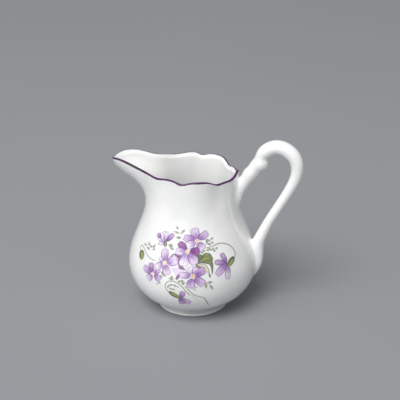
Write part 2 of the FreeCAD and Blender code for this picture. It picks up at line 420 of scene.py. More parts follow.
@dataclass(frozen=True)
class Glaze:
    """Clear glaze over white porcelain: faintly uneven in colour, gloss and surface."""

    name: str
    pale: Rgb = (247, 247, 245)
    dull: Rgb = (239, 240, 239)
    gloss: tuple[float, float] = (0.07, 0.13)
    ripple_depth: float = 0.06
    pit_depth: float = 0.006
    speck: Rgb = (168, 158, 146)

    def body_colour(self, sketch: Sketch) -> Node:
        """Clouds of two whites with a very few kiln specks.

        Args:
            sketch: The material being made.

        Returns:
            The mixing node that holds the colour.
        """
        clouds = sketch.spread(sketch.noise(70.0, 4.0, 0.55), "Fac", (0.35, 0.65, 0.0, 1.0))
        whites = sketch.blend(ink(*self.pale), ink(*self.dull), (clouds, "Result"))
        cells = sketch.add("ShaderNodeTexVoronoi", feature="F1")
        cells.inputs["Scale"].default_value = 150.0
        sketch.join(sketch.coordinates, "Object", cells, "Vector")
        dots = sketch.spread(cells, "Distance", (0.012, 0.03, 1.0, 0.0))
        patchy = sketch.spread(sketch.noise(26.0, 1.0), "Fac", (0.6, 0.66, 0.0, 0.6))
        both = sketch.add("ShaderNodeMath", operation="MULTIPLY")
        sketch.join(dots, "Result", both, 0)
        sketch.join(patchy, "Result", both, 1)
        return sketch.blend((whites, 2), ink(*self.speck), (both, "Value"))

    def surface(self, sketch: Sketch) -> None:
        """Gives the shader the uneven gloss and the soft ripple of a poured glaze.

        Args:
            sketch: The material being made.
        """
        shine = sketch.spread(sketch.noise(320.0, 5.0, 0.6), "Fac", (0.3, 0.7, *self.gloss))
        sketch.join(shine, "Result", sketch.shader, "Roughness")
        swell = sketch.bump(sketch.noise(95.0, 2.0, 0.4), self.ripple_depth, 0.5)
        pits = sketch.bump(sketch.noise(1800.0, 2.0), self.pit_depth, 0.25)
        sketch.join(swell, "Normal", pits, "Normal")
        sketch.join(pits, "Normal", sketch.shader, "Normal")
        sketch.give({
            "IOR": GLASS_IOR, "Coat Weight": 0.35, "Coat Roughness": 0.04, "Subsurface Weight": 0.12,
            "Subsurface Scale": 1.5 * MM, "Subsurface Radius": (1.0, 0.9, 0.8),
        })

    def material(self) -> Finish:
        """The finished glaze."""
        sketch = Sketch(self.name)
        sketch.result_into(self.body_colour(sketch), sketch.shader, "Base Color")
        self.surface(sketch)
        return sketch.material


@dataclass(frozen=True)
class FootGlaze(Glaze):
    """The same glaze, wiped off the narrow face that the foot stands on, with painted shade on the ring's
    upper part under the body.
    """

    bare: Rgb = (214, 207, 196)
    wiped_to: float = 0.32
    # painted shade: from the height below upwards the ring is painted this dark grey, where it sits in shade
    # under the body
    hollow_shade: Rgb = (92, 88, 86)
    shade_from: float = 2.45
    grain_step: int = 22
    bare_roughness: float = 0.75

    def material(self) -> Finish:
        """The finished glaze with its bare tread and its painted shade."""
        sketch = Sketch(self.name)
        split = sketch.add("ShaderNodeSeparateXYZ")
        sketch.join(sketch.coordinates, "Object", split, "Vector")
        wander = sketch.spread(sketch.noise(420.0, 3.0), "Fac", (0.3, 0.7, -0.16 * MM, 0.16 * MM))
        height = sketch.add("ShaderNodeMath", operation="ADD")
        sketch.join(split, "Z", height, 0)
        sketch.join(wander, "Result", height, 1)
        span = (self.wiped_to * MM, (self.wiped_to + 0.1) * MM, 1.0, 0.0)
        wiped = sketch.spread(height, "Value", span)
        grain = sketch.spread(sketch.noise(2600.0, 4.0, 0.7), "Fac", (0.35, 0.65, 0.0, 1.0))
        darker = ink(*(c - self.grain_step for c in self.bare))
        clay = sketch.blend(ink(*self.bare), darker, (grain, "Result"))
        # painted shade: above this height the glaze colour runs into the dark grey of the painted shade
        shaded = (self.shade_from * MM, (self.shade_from + 0.4) * MM, 0.0, 1.0)
        shade_share = sketch.spread(height, "Value", shaded)
        glazed = sketch.blend((self.body_colour(sketch), 2), ink(*self.hollow_shade), (shade_share, "Result"))
        both = sketch.blend((glazed, 2), (clay, 2), (wiped, "Result"))
        sketch.result_into(both, sketch.shader, "Base Color")
        self.surface(sketch)
        rough = sketch.spread(wiped, "Result", (0.0, 1.0, sum(self.gloss) / 2.0, self.bare_roughness))
        sketch.join(rough, "Result", sketch.shader, "Roughness")
        sketch.give({"Coat Weight": 0.0})
        return sketch.material


@dataclass(frozen=True)
class RimEnamel:
    """Purple enamel laid on by brush, darker where it has pooled."""

    name: str
    thin: Rgb = (96, 44, 106)
    full: Rgb = (64, 22, 70)
    pooled: Rgb = (38, 13, 42)
    streak_depth: float = 0.02

    def material(self) -> Finish:
        """The finished enamel."""
        sketch = Sketch(self.name)
        load = sketch.spread(sketch.noise(110.0, 3.0, 0.6), "Fac", (0.3, 0.7, 0.0, 1.0))
        brushed = sketch.blend(ink(*self.thin), ink(*self.full), (load, "Result"))
        pools = sketch.spread(sketch.noise(48.0, 1.0), "Fac", (0.52, 0.68, 0.0, 1.0))
        both = sketch.blend((brushed, 2), ink(*self.pooled), (pools, "Result"))
        sketch.result_into(both, sketch.shader, "Base Color")
        shine = sketch.spread(sketch.noise(700.0, 4.0), "Fac", (0.3, 0.7, 0.26, 0.44))
        sketch.join(shine, "Result", sketch.shader, "Roughness")
        streaks = sketch.bump(sketch.noise(900.0, 3.0), self.streak_depth, 0.4)
        sketch.join(streaks, "Normal", sketch.shader, "Normal")
        sketch.give({"IOR": GLASS_IOR})
        return sketch.material


@dataclass(frozen=True)
class PrintEnamel(Glaze):
    """Printed enamel fired into the glaze; the piece's own paint attribute says where and what."""

    layer: str = "paint"
    ink_gloss: float = 0.06

    def material(self) -> Finish:
        """The finished print: glaze where bare, enamel where painted."""
        sketch = Sketch(self.name)
        paint = sketch.add("ShaderNodeAttribute", attribute_name=self.layer, attribute_type="GEOMETRY")
        grain = sketch.spread(sketch.noise(2400.0, 3.0, 0.6), "Fac", (0.3, 0.7, 0.9, 1.0))
        cover = sketch.add("ShaderNodeMath", operation="MULTIPLY")
        sketch.join(paint, "Alpha", cover, 0)
        sketch.join(grain, "Result", cover, 1)
        both = sketch.blend((self.body_colour(sketch), 2), (paint, "Color"), (cover, "Value"))
        sketch.result_into(both, sketch.shader, "Base Color")
        self.surface(sketch)
        shine = sketch.shader.inputs["Roughness"].links[0].from_node
        duller = sketch.add("ShaderNodeMath", operation="MULTIPLY_ADD")
        duller.inputs[1].default_value = self.ink_gloss
        sketch.join(paint, "Alpha", duller, 0)
        sketch.join(shine, "Result", duller, 2)
        sketch.join(duller, "Value", sketch.shader, "Roughness")
        return sketch.material


# ---------------------------------------------------------------- the body's form


@dataclass
class BodyForm:
    """The shape of the jug's wall: a round belly, a waisted neck and a scalloped mouth with a long lip."""

    rim_z: float
    belly_r: float
    base_z: float = 2.8
    waist_r: float = 26.1
    fullness: float = 2.1
    wall: float = 2.2
    lip: float = 1.7
    spout_spread: float = 32.0
    spout_start: float = 1.8
    spout_end: tuple[float, float] = (0.36, 1.14)
    neck_flare: float = 0.04
    # degrees round from the spout, reach beyond the waist radius, rise above rim_z
    edge: tuple[Triple, ...] = (
        (0.0, 20.0, 2.0), (8.0, 17.6, 3.5), (15.0, 12.9, 4.0), (27.0, 4.4, 1.4), (40.0, 0.8, 0.1),
        (53.0, -0.3, -0.5), (73.0, -0.9, 0.3), (82.0, -0.6, -0.2), (90.0, -0.6, -1.3),
        (100.0, -0.4, -0.4), (110.0, -0.4, 0.0), (124.0, -0.9, -0.8), (138.0, -1.9, -3.0),
        (149.0, -1.5, -2.7), (160.0, -1.1, -2.7), (170.0, -0.5, -1.5), (180.0, -0.2, 0.0),
    )
    around: int = 288
    bowl_rows: int = 52
    wall_rows: int = 38
    neck_rows: int = 44
    lip_rows: int = 14

    @classmethod
    def from_frame(cls) -> "BodyForm":
        """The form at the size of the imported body."""
        low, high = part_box("jug_body")
        top = max(rise for _, _, rise in cls.edge) + cls.lip / 2.0
        return cls(rim_z=high.z / MM - top, belly_r=(high.y - low.y) / 2.0 / MM)

    def __post_init__(self) -> None:
        """Works out the heights that follow from the rim, and the spline round the mouth."""
        self.belly_z = 0.336 * self.rim_z
        self.waist_z = 0.807 * self.rim_z
        self.neck_z = 0.709 * self.rim_z
        self.base_r = 0.27 * self.belly_r
        half = np.array(self.edge)
        back = half[-2:0:-1] * (-1.0, 1.0, 1.0) + (360.0, 0.0, 0.0)
        once = np.concatenate([half, back])
        turns = [once + (360.0 * turn, 0.0, 0.0) for turn in (-1, 0, 1)]
        self.edge_knots = np.concatenate(turns)

    def radius(self, height: Array) -> Array:
        """Outer radius of the round part of the wall.

        Args:
            height: Heights above the table.

        Returns:
            The radius at each height.
        """
        drop = np.clip((self.belly_z - height) / (self.belly_z - self.base_z), 0.0, 1.0)
        share = (1.0 - drop**self.fullness) ** (1.0 / self.fullness)
        bowl = self.base_r + (self.belly_r - self.base_r) * share
        t = np.maximum((height - self.belly_z) / (self.waist_z - self.belly_z), 0.0)
        above = self.belly_r + (self.waist_r - self.belly_r) * t * t * (3.0 - 2.0 * t)
        return np.where(height <= self.belly_z, bowl, above)

    def mouth(self, degrees: Array) -> tuple[Array, Array]:
        """Edge of the mouth.

        Args:
            degrees: Angles round from the spout.

        Returns:
            Its radius and its height at each angle.
        """
        knots = self.edge_knots
        found = smooth_through(knots[:, 0], knots[:, 1:], degrees.ravel())
        found = found.reshape(*degrees.shape, 2)
        return self.waist_r + found[..., 0], self.rim_z + found[..., 1]

    def neck(self, t: Array, degrees: Array) -> tuple[Array, Array]:
        """Neck between the round part and the edge of the mouth.

        Args:
            t: 0 at the foot of the neck to 1 at the edge.
            degrees: Angles round from the spout.

        Returns:
            Radius and height of each point.
        """
        small = 0.001
        radius, height = self.mouth(degrees)
        start = self.radius(np.array(self.neck_z))
        lean = (self.radius(np.array(self.neck_z + small)) - start) / small
        away = np.minimum(degrees, 360.0 - degrees)
        spout = np.exp(-((away / self.spout_spread) ** 2))
        plain = 1.0 - spout
        rise = height - self.neck_z
        start_up = rise * (plain + self.spout_start * spout)
        end_up = rise * (plain + self.spout_end[1] * spout)
        end_out = rise * (self.neck_flare * plain + self.spout_end[0] * spout)
        arrived = t * t * (3.0 - 2.0 * t)
        leaving = t * (1.0 - t) ** 2
        arriving = t * t * (t - 1.0)
        r = start + (radius - start) * arrived + leaving * lean * start_up + arriving * end_out
        z = self.neck_z + rise * arrived + leaving * start_up + arriving * end_up
        return r, z

    def place(self, degrees: Array, level: Array) -> Array:
        """Points on the outside of the wall.

        Args:
            degrees: Angles round from the spout.
            level: Heights; on the neck, the height that an even climb to the edge would have.

        Returns:
            The points, one row of x, y, z each.
        """
        degrees, level = np.broadcast_arrays(degrees % 360.0, level)
        top = self.mouth(degrees)[1]
        t = np.clip((level - self.neck_z) / (top - self.neck_z), 0.0, 1.0)
        neck_r, neck_z = self.neck(t, degrees)
        on_neck = level > self.neck_z
        r = np.where(on_neck, neck_r, self.radius(np.minimum(level, self.neck_z)))
        z = np.where(on_neck, neck_z, level)
        turn = math.pi + np.radians(degrees)
        return np.stack([r * np.cos(turn), r * np.sin(turn), z], axis=-1)

    def columns(self, count: int) -> Array:
        """Degrees from the spout of evenly spaced columns that start over the handle."""
        return (180.0 + 360.0 * np.arange(count) / count) % 360.0

    def outside(self, count: int) -> Array:
        """Grid of points over the outside, from the underside to the edge of the mouth.

        Args:
            count: How many columns it has.

        Returns:
            Rows of columns of points.
        """
        degrees = self.columns(count)
        turn = np.linspace(0.0, math.pi / 2.0, self.bowl_rows, endpoint=False)
        down = np.cos(turn) ** (2.0 / self.fullness)
        low = self.belly_z - (self.belly_z - self.base_z) * down
        middle = np.linspace(self.belly_z, self.neck_z, self.wall_rows, endpoint=False)
        share = 1.0 - (1.0 - np.linspace(0.0, 1.0, self.neck_rows)) ** 1.15
        climb = self.mouth(degrees)[1] - self.neck_z
        high = self.neck_z + share[:, None] * climb
        levels = np.concatenate([np.repeat(np.r_[low, middle][:, None], count, axis=1), high])
        grid = self.place(degrees[None], levels)
        bowl_r = self.base_r + (self.belly_r - self.base_r) * np.sin(turn) ** (2.0 / self.fullness)
        angle = math.pi + np.radians(degrees)
        grid[: self.bowl_rows, :, 0] = bowl_r[:, None] * np.cos(angle)
        grid[: self.bowl_rows, :, 1] = bowl_r[:, None] * np.sin(angle)
        return grid

    @staticmethod
    def directions(grid: Array) -> tuple[Array, Array]:
        """Outward and up-the-wall directions over a grid of points.

        Args:
            grid: Rows of columns of points, closed round each row.

        Returns:
            The outward and the upward unit vectors at each point.
        """
        along = np.roll(grid, -1, axis=1) - np.roll(grid, 1, axis=1)
        up = np.gradient(grid, axis=0)
        outward = unit(np.cross(along, up))
        return outward, unit(np.cross(outward, along))

    def rolled(self, grid: Array, degrees: Array, extra: Array | float = 0.0) -> Array:
        """Rows round the rolled edge of the mouth.

        Args:
            grid: The outside, whose last row is the edge.
            degrees: How far round the roll each row lies, 0 outside and 180 inside.
            extra: How much further out than the roll, a number or one for each point.

        Returns:
            Rows of columns of points.
        """
        outward, upward = self.directions(grid)
        middle = grid[-1] - outward[-1] * (self.lip / 2.0)
        over = np.radians(degrees if np.ndim(degrees) == 2 else degrees[:, None])
        reach = self.lip / 2.0 + extra
        out, up = reach * np.cos(over), reach * np.sin(over)
        return middle + outward[-1] * out[..., None] + upward[-1] * up[..., None]


# ---------------------------------------------------------------- the handle's form


@dataclass
class HandleForm:
    """The centre line and thickness of the handle, from its head on the neck to its tail on the belly."""

    body: BodyForm
    wide: float = 1.06
    rows: int = 330
    around: int = 56
    # out from the waist radius, above rim_z, half thickness
    head: tuple[Triple, ...] = (
        (-1.7, -19.0, 1.4), (-0.9, -15.6, 2.4), (0.2, -12.0, 2.7), (1.8, -8.0, 3.1), (4.0, -4.1, 3.35),
        (5.7, -1.5, 3.55), (7.4, 1.2, 3.75), (9.2, 4.0, 3.75), (11.2, 6.6, 3.85), (11.9, 9.0, 3.5),
    )
    loop: tuple[Triple, ...] = (
        (13.1, 11.4, 3.75), (15.9, 14.1, 3.85), (20.2, 15.6, 3.85), (25.3, 14.4, 3.85), (29.8, 10.3, 3.7),
        (31.4, 5.6, 3.4), (31.0, -0.2, 3.15), (28.3, -7.1, 2.9), (23.3, -16.5, 2.75),
    )
    # share of the way down the tail, out from the wall, half thickness
    tail: tuple[Triple, ...] = (
        (-0.22, 12.8, 2.85), (0.0, 8.4, 3.1), (0.22, 4.4, 3.35), (0.42, 2.5, 3.3), (0.62, 1.5, 2.95),
        (0.78, 1.0, 2.4), (0.92, 0.4, 1.5), (1.0, -0.1, 0.8),
    )
    tail_span: tuple[float, float] = (0.57, 0.28)
    # the moulded shoulder: rise, how closely it keeps to its side, place past the station, reach
    knuckle_at: int = 8
    inner_folds: tuple[Fold, ...] = ((-0.30, 3.0, 5.0, 2.0), (0.92, 1.6, 0.1, 2.9))
    outer_folds: tuple[Fold, ...] = ((-0.26, 2.0, -5.6, 1.8), (0.50, 2.0, -9.6, 2.9))

    def __post_init__(self) -> None:
        """Lays the centre line through the stations."""
        across, up = self.body.waist_r, self.body.rim_z
        stations = [(across + x, up + z, half) for x, z, half in self.head + self.loop]
        top, end = (share * self.body.rim_z for share in self.tail_span)
        for share, out, half in self.tail:
            z = top + (end - top) * share
            stations.append((float(self.body.radius(np.array(z))) + out, z, half))
        line = np.array(stations)
        knots = np.r_[0.0, np.cumsum(np.linalg.norm(np.diff(line[:, :2], axis=0), axis=1))]
        self.marks = knots
        self.along = np.linspace(0.0, knots[-1], self.rows)
        found = smooth_through(knots, line, self.along)
        self.centre = np.stack([found[:, 0], np.zeros(self.rows), found[:, 1]], axis=1)
        self.half = found[:, 2]
        way = unit(np.gradient(self.centre, axis=0))
        self.square = np.cross(way, (0.0, 1.0, 0.0))

    def knuckle(self, turn: Array) -> Array:
        """The moulded shoulder where the head ends and the loop begins, as a change of thickness.

        Args:
            turn: Angles round the section, 0 on the side away from the jug's axis.

        Returns:
            One change for each row and angle, in millimetres.
        """
        outer = 0.5 + 0.5 * np.cos(turn)[None]
        past = self.along[:, None] - self.marks[self.knuckle_at]
        change = np.zeros((self.rows, len(turn)))
        for side, folds in ((1.0 - outer, self.inner_folds), (outer, self.outer_folds)):
            for rise, focus, place, reach in folds:
                change += rise * side**focus * np.exp(-(((past - place) / reach) ** 2))
        return change

    def sections(self) -> Array:
        """Rows of points round the handle, before it is blended into the wall."""
        turn = FULL_TURN * np.arange(self.around) / self.around
        half = self.half[:, None] + self.knuckle(turn)
        across = np.array((0.0, 1.0, 0.0))
        thick = (half * np.cos(turn))[..., None] * self.square[:, None]
        broad = (half * self.wide * np.sin(turn))[..., None] * across
        return self.centre[:, None] + thick + broad

    def distance(self, points: Array) -> Array:
        """Distance from points to the surface of the handle.

        Args:
            points: Rows of x, y, z.

        Returns:
            One distance each, below 0 inside.
        """
        narrowed = points / (1.0, self.wide, 1.0)
        parts = np.array_split(narrowed, 1 + len(points) // 4000)
        found = []
        for part in parts:
            gaps = np.linalg.norm(part[:, None] - self.centre[None], axis=2) - self.half
            found.append(gaps.min(axis=1))
        return np.concatenate(found)


@dataclass
class SlipFillet:
    """The soft fillet of slip that runs the handle into the wall, solved on both surfaces alike."""

    body: BodyForm
    handle: HandleForm
    width: float = 3.4
    deepest: float = 1.2

    def __post_init__(self) -> None:
        """Keeps the wall's outline under the handle."""
        grid = self.body.outside(self.body.around)
        self.line = outline_of(grid[:, 0])

    def wall_distance(self, points: Array) -> Array:
        """Distance from points to the wall near the handle, below 0 inside."""
        heights = self.line[:, 1]
        radius = np.interp(points[:, 2], heights, self.line[:, 0])
        slope = np.interp(points[:, 2], heights, np.gradient(self.line[:, 0], heights))
        return (np.hypot(points[:, 0], points[:, 1]) - radius) / np.sqrt(1.0 + slope**2)

    def lift(self, points: Array, outward: Array, other: object) -> Array:
        """Moves a surface out along its normals to the fillet it shares with another.

        Args:
            points: Rows of x, y, z on the surface.
            outward: Its normals there.
            other: Function that gives the distance from points to the other surface.

        Returns:
            The points in their new places.
        """
        raised = np.zeros(len(points))
        fade = 1.0 - ease(self.body.rim_z - 4.5, self.body.rim_z - 1.2, points[:, 2])
        for _ in range(16):
            gap = other(points + outward * raised[:, None])
            overlap = np.maximum(self.width - np.maximum(gap - raised, 0.0), 0.0)
            raised = 0.5 * raised + 0.5 * fade * overlap**2 / (4.0 * self.width)
        return points + outward * raised[:, None]


# ---------------------------------------------------------------- body, handle, foot and rim


@dataclass
class JugBody:
    """The slip-cast body, thrown as one closed wall and drawn out to its lip."""

    form: BodyForm
    fillet: SlipFillet
    base_rings: tuple[float, ...] = (0.0, 0.34, 0.68)
    lip_blend_rows: int = 4
    fillet_from_x: float = 12.0
    fillet_half_width: float = 14.0

    def wall(self) -> Array:
        """Rows of the closed wall: underside, outside, rolled edge, inside, floor."""
        form = self.form
        grid = form.outside(form.around)
        outward, _ = form.directions(grid)
        thick = np.full(len(grid), form.wall)
        thick[-self.lip_blend_rows :] = np.linspace(form.wall, form.lip, self.lip_blend_rows)
        inside = grid - outward * thick[:, None, None]
        shown = self.blended(grid, outward)
        over = np.linspace(0.0, 180.0, form.lip_rows)[1:-1]
        roll = form.rolled(grid, over)
        under = self.disc(grid[0], form.base_z)
        floor = self.disc(inside[0], form.base_z + form.wall)
        return np.concatenate([under, shown, roll, inside[::-1], floor[::-1]])

    def disc(self, ring: Array, height: float) -> Array:
        """Rings that close a round from its middle out to a row of the wall."""
        rings = [ring * share for share in self.base_rings]
        for made in rings:
            made[:, 2] = height
        return np.array(rings)

    def blended(self, grid: Array, outward: Array) -> Array:
        """The outside with the slip fillets round the handle's two ends."""
        flat, normals = grid.reshape(-1, 3), outward.reshape(-1, 3)
        near = (flat[:, 0] > self.fillet_from_x) & (np.abs(flat[:, 1]) < self.fillet_half_width)
        shown = flat.copy()
        shown[near] = self.fillet.lift(flat[near], normals[near], self.fillet.handle.distance)
        return shown.reshape(grid.shape)

    def build(self, finish: Finish) -> Piece:
        """Throws the wall and draws its vertices out to the scalloped mouth and the lip.

        Args:
            finish: The glaze.

        Returns:
            The body.
        """
        rows = self.wall()
        line = outline_of(rows[:, self.form.around // 4])
        line[0, 0] = line[-1, 0] = 0.0
        piece, row, column = thrown("glazed_body", line, self.form.around)
        move_points(piece, rows[row, column])
        finished(piece, "body_glaze", finish, "jug_body")
        return piece


@dataclass
class Handle:
    """The handle with both its slip joints, a tube extruded section by section and blended into the wall."""

    form: HandleForm
    fillet: SlipFillet
    step: float = 1.0

    def blank(self) -> Piece:
        """A straight closed tube with as many sections as the handle has."""
        deselect_everything()
        bpy.ops.mesh.primitive_circle_add(vertices=self.form.around, radius=self.step * MM, fill_type="NGON")
        piece = bpy.context.object
        piece.name = piece.data.name = "glazed_handle"
        open_for_edit(piece)
        for _ in range(self.form.rows - 1):
            bpy.ops.mesh.extrude_region_move(TRANSFORM_OT_translate={"value": (0.0, 0.0, self.step * MM)})
        bpy.ops.mesh.select_all(action="SELECT")
        bpy.ops.mesh.normals_make_consistent(inside=False)
        close_edit()
        settle(piece)
        return piece

    def skin(self) -> Array:
        """Rows of the blended surface."""
        rows = self.form.sections()
        along = np.gradient(rows, axis=0)
        around = np.roll(rows, -1, axis=1) - np.roll(rows, 1, axis=1)
        outward = unit(np.cross(along, around))
        middle = rows - self.form.centre[:, None]
        outward *= np.sign((outward * middle).sum(axis=2, keepdims=True))
        flat, normals = rows.reshape(-1, 3), outward.reshape(-1, 3)
        near = self.fillet.wall_distance(flat) < 2.0 * self.fillet.width
        shown = flat.copy()
        shown[near] = self.fillet.lift(flat[near], normals[near], self.fillet.wall_distance)
        sunk = np.maximum(-self.fillet.deepest - self.fillet.wall_distance(shown), 0.0)
        low = shown[:, 2] < self.fillet.body.rim_z - 3.0
        away = unit(shown * (1.0, 1.0, 0.0))
        shown += away * (sunk * low)[:, None]
        return shown.reshape(rows.shape)

    def build(self, finish: Finish) -> Piece:
        """Extrudes the tube and bends it to the handle's shape.

        Args:
            finish: The glaze.

        Returns:
            The handle.
        """
        piece = self.blank()
        points = points_of(piece)
        row = np.rint(points[:, 2] / self.step).astype(int)
        turn = np.arctan2(points[:, 1], points[:, 0]) / FULL_TURN * self.form.around
        column = np.rint(turn).astype(int) % self.form.around
        move_points(piece, self.skin()[row, column])
        open_for_edit(piece)
        bpy.ops.mesh.normals_make_consistent(inside=False)
        close_edit()
        finished(piece, "handle_glaze", finish, "handle", "upper_slip_joint", "lower_slip_joint")
        return piece


@dataclass
class FootRing:
    """The turned ring under the body."""

    body: BodyForm
    steps: int = 240
    edge: float = 0.8
    tread_in: float = 1.1
    thick: float = 5.2
    # in from the widest radius, height: the rim, the hollow above it and the neck under the body
    side: tuple[Spot, ...] = (
        (0.05, 0.8), (0.0, 1.15), (0.22, 1.55), (0.9, 1.86), (1.7, 2.1), (2.4, 2.45), (2.85, 3.1), (3.0, 4.0),
    )

    def outline(self) -> Array:
        """Radius and height round the ring's section, down its inner face and up its outer one."""
        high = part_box("foot_ring")[1]
        outer, top = high.x / MM, high.z / MM
        inner, tread = outer - self.thick, outer - self.tread_in
        bend = np.radians(np.linspace(0.0, 90.0, 7))
        inside = np.array([(inner - 0.25, top), (inner - 0.2, 3.4), (inner - 0.1, 1.4)])
        fall, climbed = self.edge * (1 - np.sin(bend)), self.edge * (1 - np.cos(bend))
        inner_edge = np.stack([inner + climbed, fall], axis=1)
        round_r = self.tread_in - self.side[0][0]
        outer_edge = np.stack([tread + round_r * np.sin(bend), climbed], axis=1)
        knots = np.arange(len(self.side) + 1.0)
        climb = np.array([(outer - r, z) for r, z in self.side] + [(outer - self.side[-1][0], top)])
        rise = smooth_through(knots, climb, np.linspace(0.0, knots[-1], 33)[1:])
        return np.concatenate([inside, inner_edge, outer_edge, rise])

    def build(self, finish: Finish) -> Piece:
        """Throws the ring.

        Args:
            finish: The glaze with the bare tread.

        Returns:
            The ring.
        """
        line = self.outline()
        line = np.concatenate([line, line[:1]])
        piece, _, _ = thrown("turned_foot", line, self.steps)
        finished(piece, "foot_glaze", finish, "foot_ring")
        return piece


@dataclass
class RimLine:
    """The purple line brushed along the rolled edge, its width wandering as a hand's does."""

    body: BodyForm
    around: int = 720
    across: int = 9
    middle: float = 64.0
    half_angle: float = 55.0
    proud: float = 0.06
    sunk: float = 0.10

    def section(self, count: int) -> Array:
        """Degrees over the roll for each row and column, out over the line and back beneath it."""
        turn = np.radians((self.body.columns(count) + 360.0) % 360.0)
        wander = 1.0 + 0.13 * ripple(turn, (3, 5, 8, 13), SEED) + 0.05 * ripple(turn, (29, 47, 71), SEED + 1)
        away = np.degrees(np.minimum(turn, FULL_TURN - turn))
        pools = 0.22 * sum(np.exp(-(((away - dip) / 5.0) ** 2)) for dip in (88.0, 140.0))
        shift = 5.0 * ripple(turn, (2, 4, 7, 19), SEED + 2)
        share = np.linspace(-1.0, 1.0, self.across)
        shown = self.middle + shift + share[:, None] * self.half_angle * (wander + pools)
        return np.concatenate([shown, shown[::-1]])

    def build(self, finish: Finish) -> Piece:
        """Throws a thin band and lays it over the rolled edge.

        Args:
            finish: The enamel.

        Returns:
            The line.
        """
        grid = self.body.outside(self.around)
        over = self.section(self.around)
        share = np.linspace(-1.0, 1.0, self.across)
        crown = self.proud * np.sqrt(1.0 - share**2) - 0.012 * share**8
        reach = np.concatenate([crown, np.full(self.across, -self.sunk)])
        rows = self.body.rolled(grid, over, reach[:, None])
        line = outline_of(rows[:, 0])
        line = np.concatenate([line, line[:1]])
        piece, row, column = thrown("rim_enamel_line", line, self.around)
        move_points(piece, rows[row % len(rows), column])
        finished(piece, "rim_enamel", finish, "rim_line")
        return piece


# ---------------------------------------------------------------- the printed violets


class Side(Enum):
    """The two sides of the jug that carry a spray."""

    FRONT = 1.0
    BACK = -1.0


@dataclass(frozen=True)
class PetalInks:
    """Colours of one kind of petal."""

    flesh: Rgb
    pale: Rgb
    edge: Rgb
    vein: Rgb


class Tone(Enum):
    """The depths of violet in the spray."""

    BARE = PetalInks((232, 220, 236), (244, 240, 245), (140, 90, 172), (134, 86, 168))
    WHITE = PetalInks((200, 172, 216), (238, 230, 242), (130, 80, 164), (122, 72, 156))
    LIGHT = PetalInks((190, 152, 208), (226, 208, 232), (116, 66, 150), (112, 60, 144))
    MIDDLE = PetalInks((176, 132, 196), (212, 186, 222), (104, 54, 138), (100, 50, 132))
    VIOLET = PetalInks((154, 104, 178), (194, 158, 208), (86, 38, 118), (84, 34, 114))
    DARK = PetalInks((126, 52, 134), (150, 84, 158), (88, 28, 98), (74, 20, 86))


@dataclass(frozen=True)
class Petal:
    """One petal: degrees round from the middle of the spray's side and height, at its base and its tip."""

    base: Spot
    tip: Spot
    width: float
    tone: Tone


@dataclass(frozen=True)
class Stalk:
    """A brushed line through points, thick at its start and thinner at its end."""

    line: tuple[Spot, ...]
    thick: float
    thin: float
    colour: Rgb = (116, 124, 70)
    shade: Rgb = (70, 76, 34)
    strength: float = 0.92


@dataclass(frozen=True)
class Blade:
    """A small brushed leaf of a sprig, from end to end."""

    start: Spot
    end: Spot
    width: float


@dataclass(frozen=True)
class Patch:
    """A painted shape with a soft or a drawn outline."""

    outline: tuple[Spot, ...]
    colour: Rgb
    edge: Rgb
    soft: float = 0.25
    strength: float = 0.9


@dataclass(frozen=True)
class Bud:
    """A calyx or closed bud, from its stalk to its open end, lit along one side."""

    start: Spot
    end: Spot
    width: float
    dark: Rgb = (66, 70, 20)
    lit: Rgb = (168, 178, 70)


GREY_GREEN = (122, 132, 106)
OLIVE_DARK = (38, 40, 6)
PLUM = (88, 24, 88)

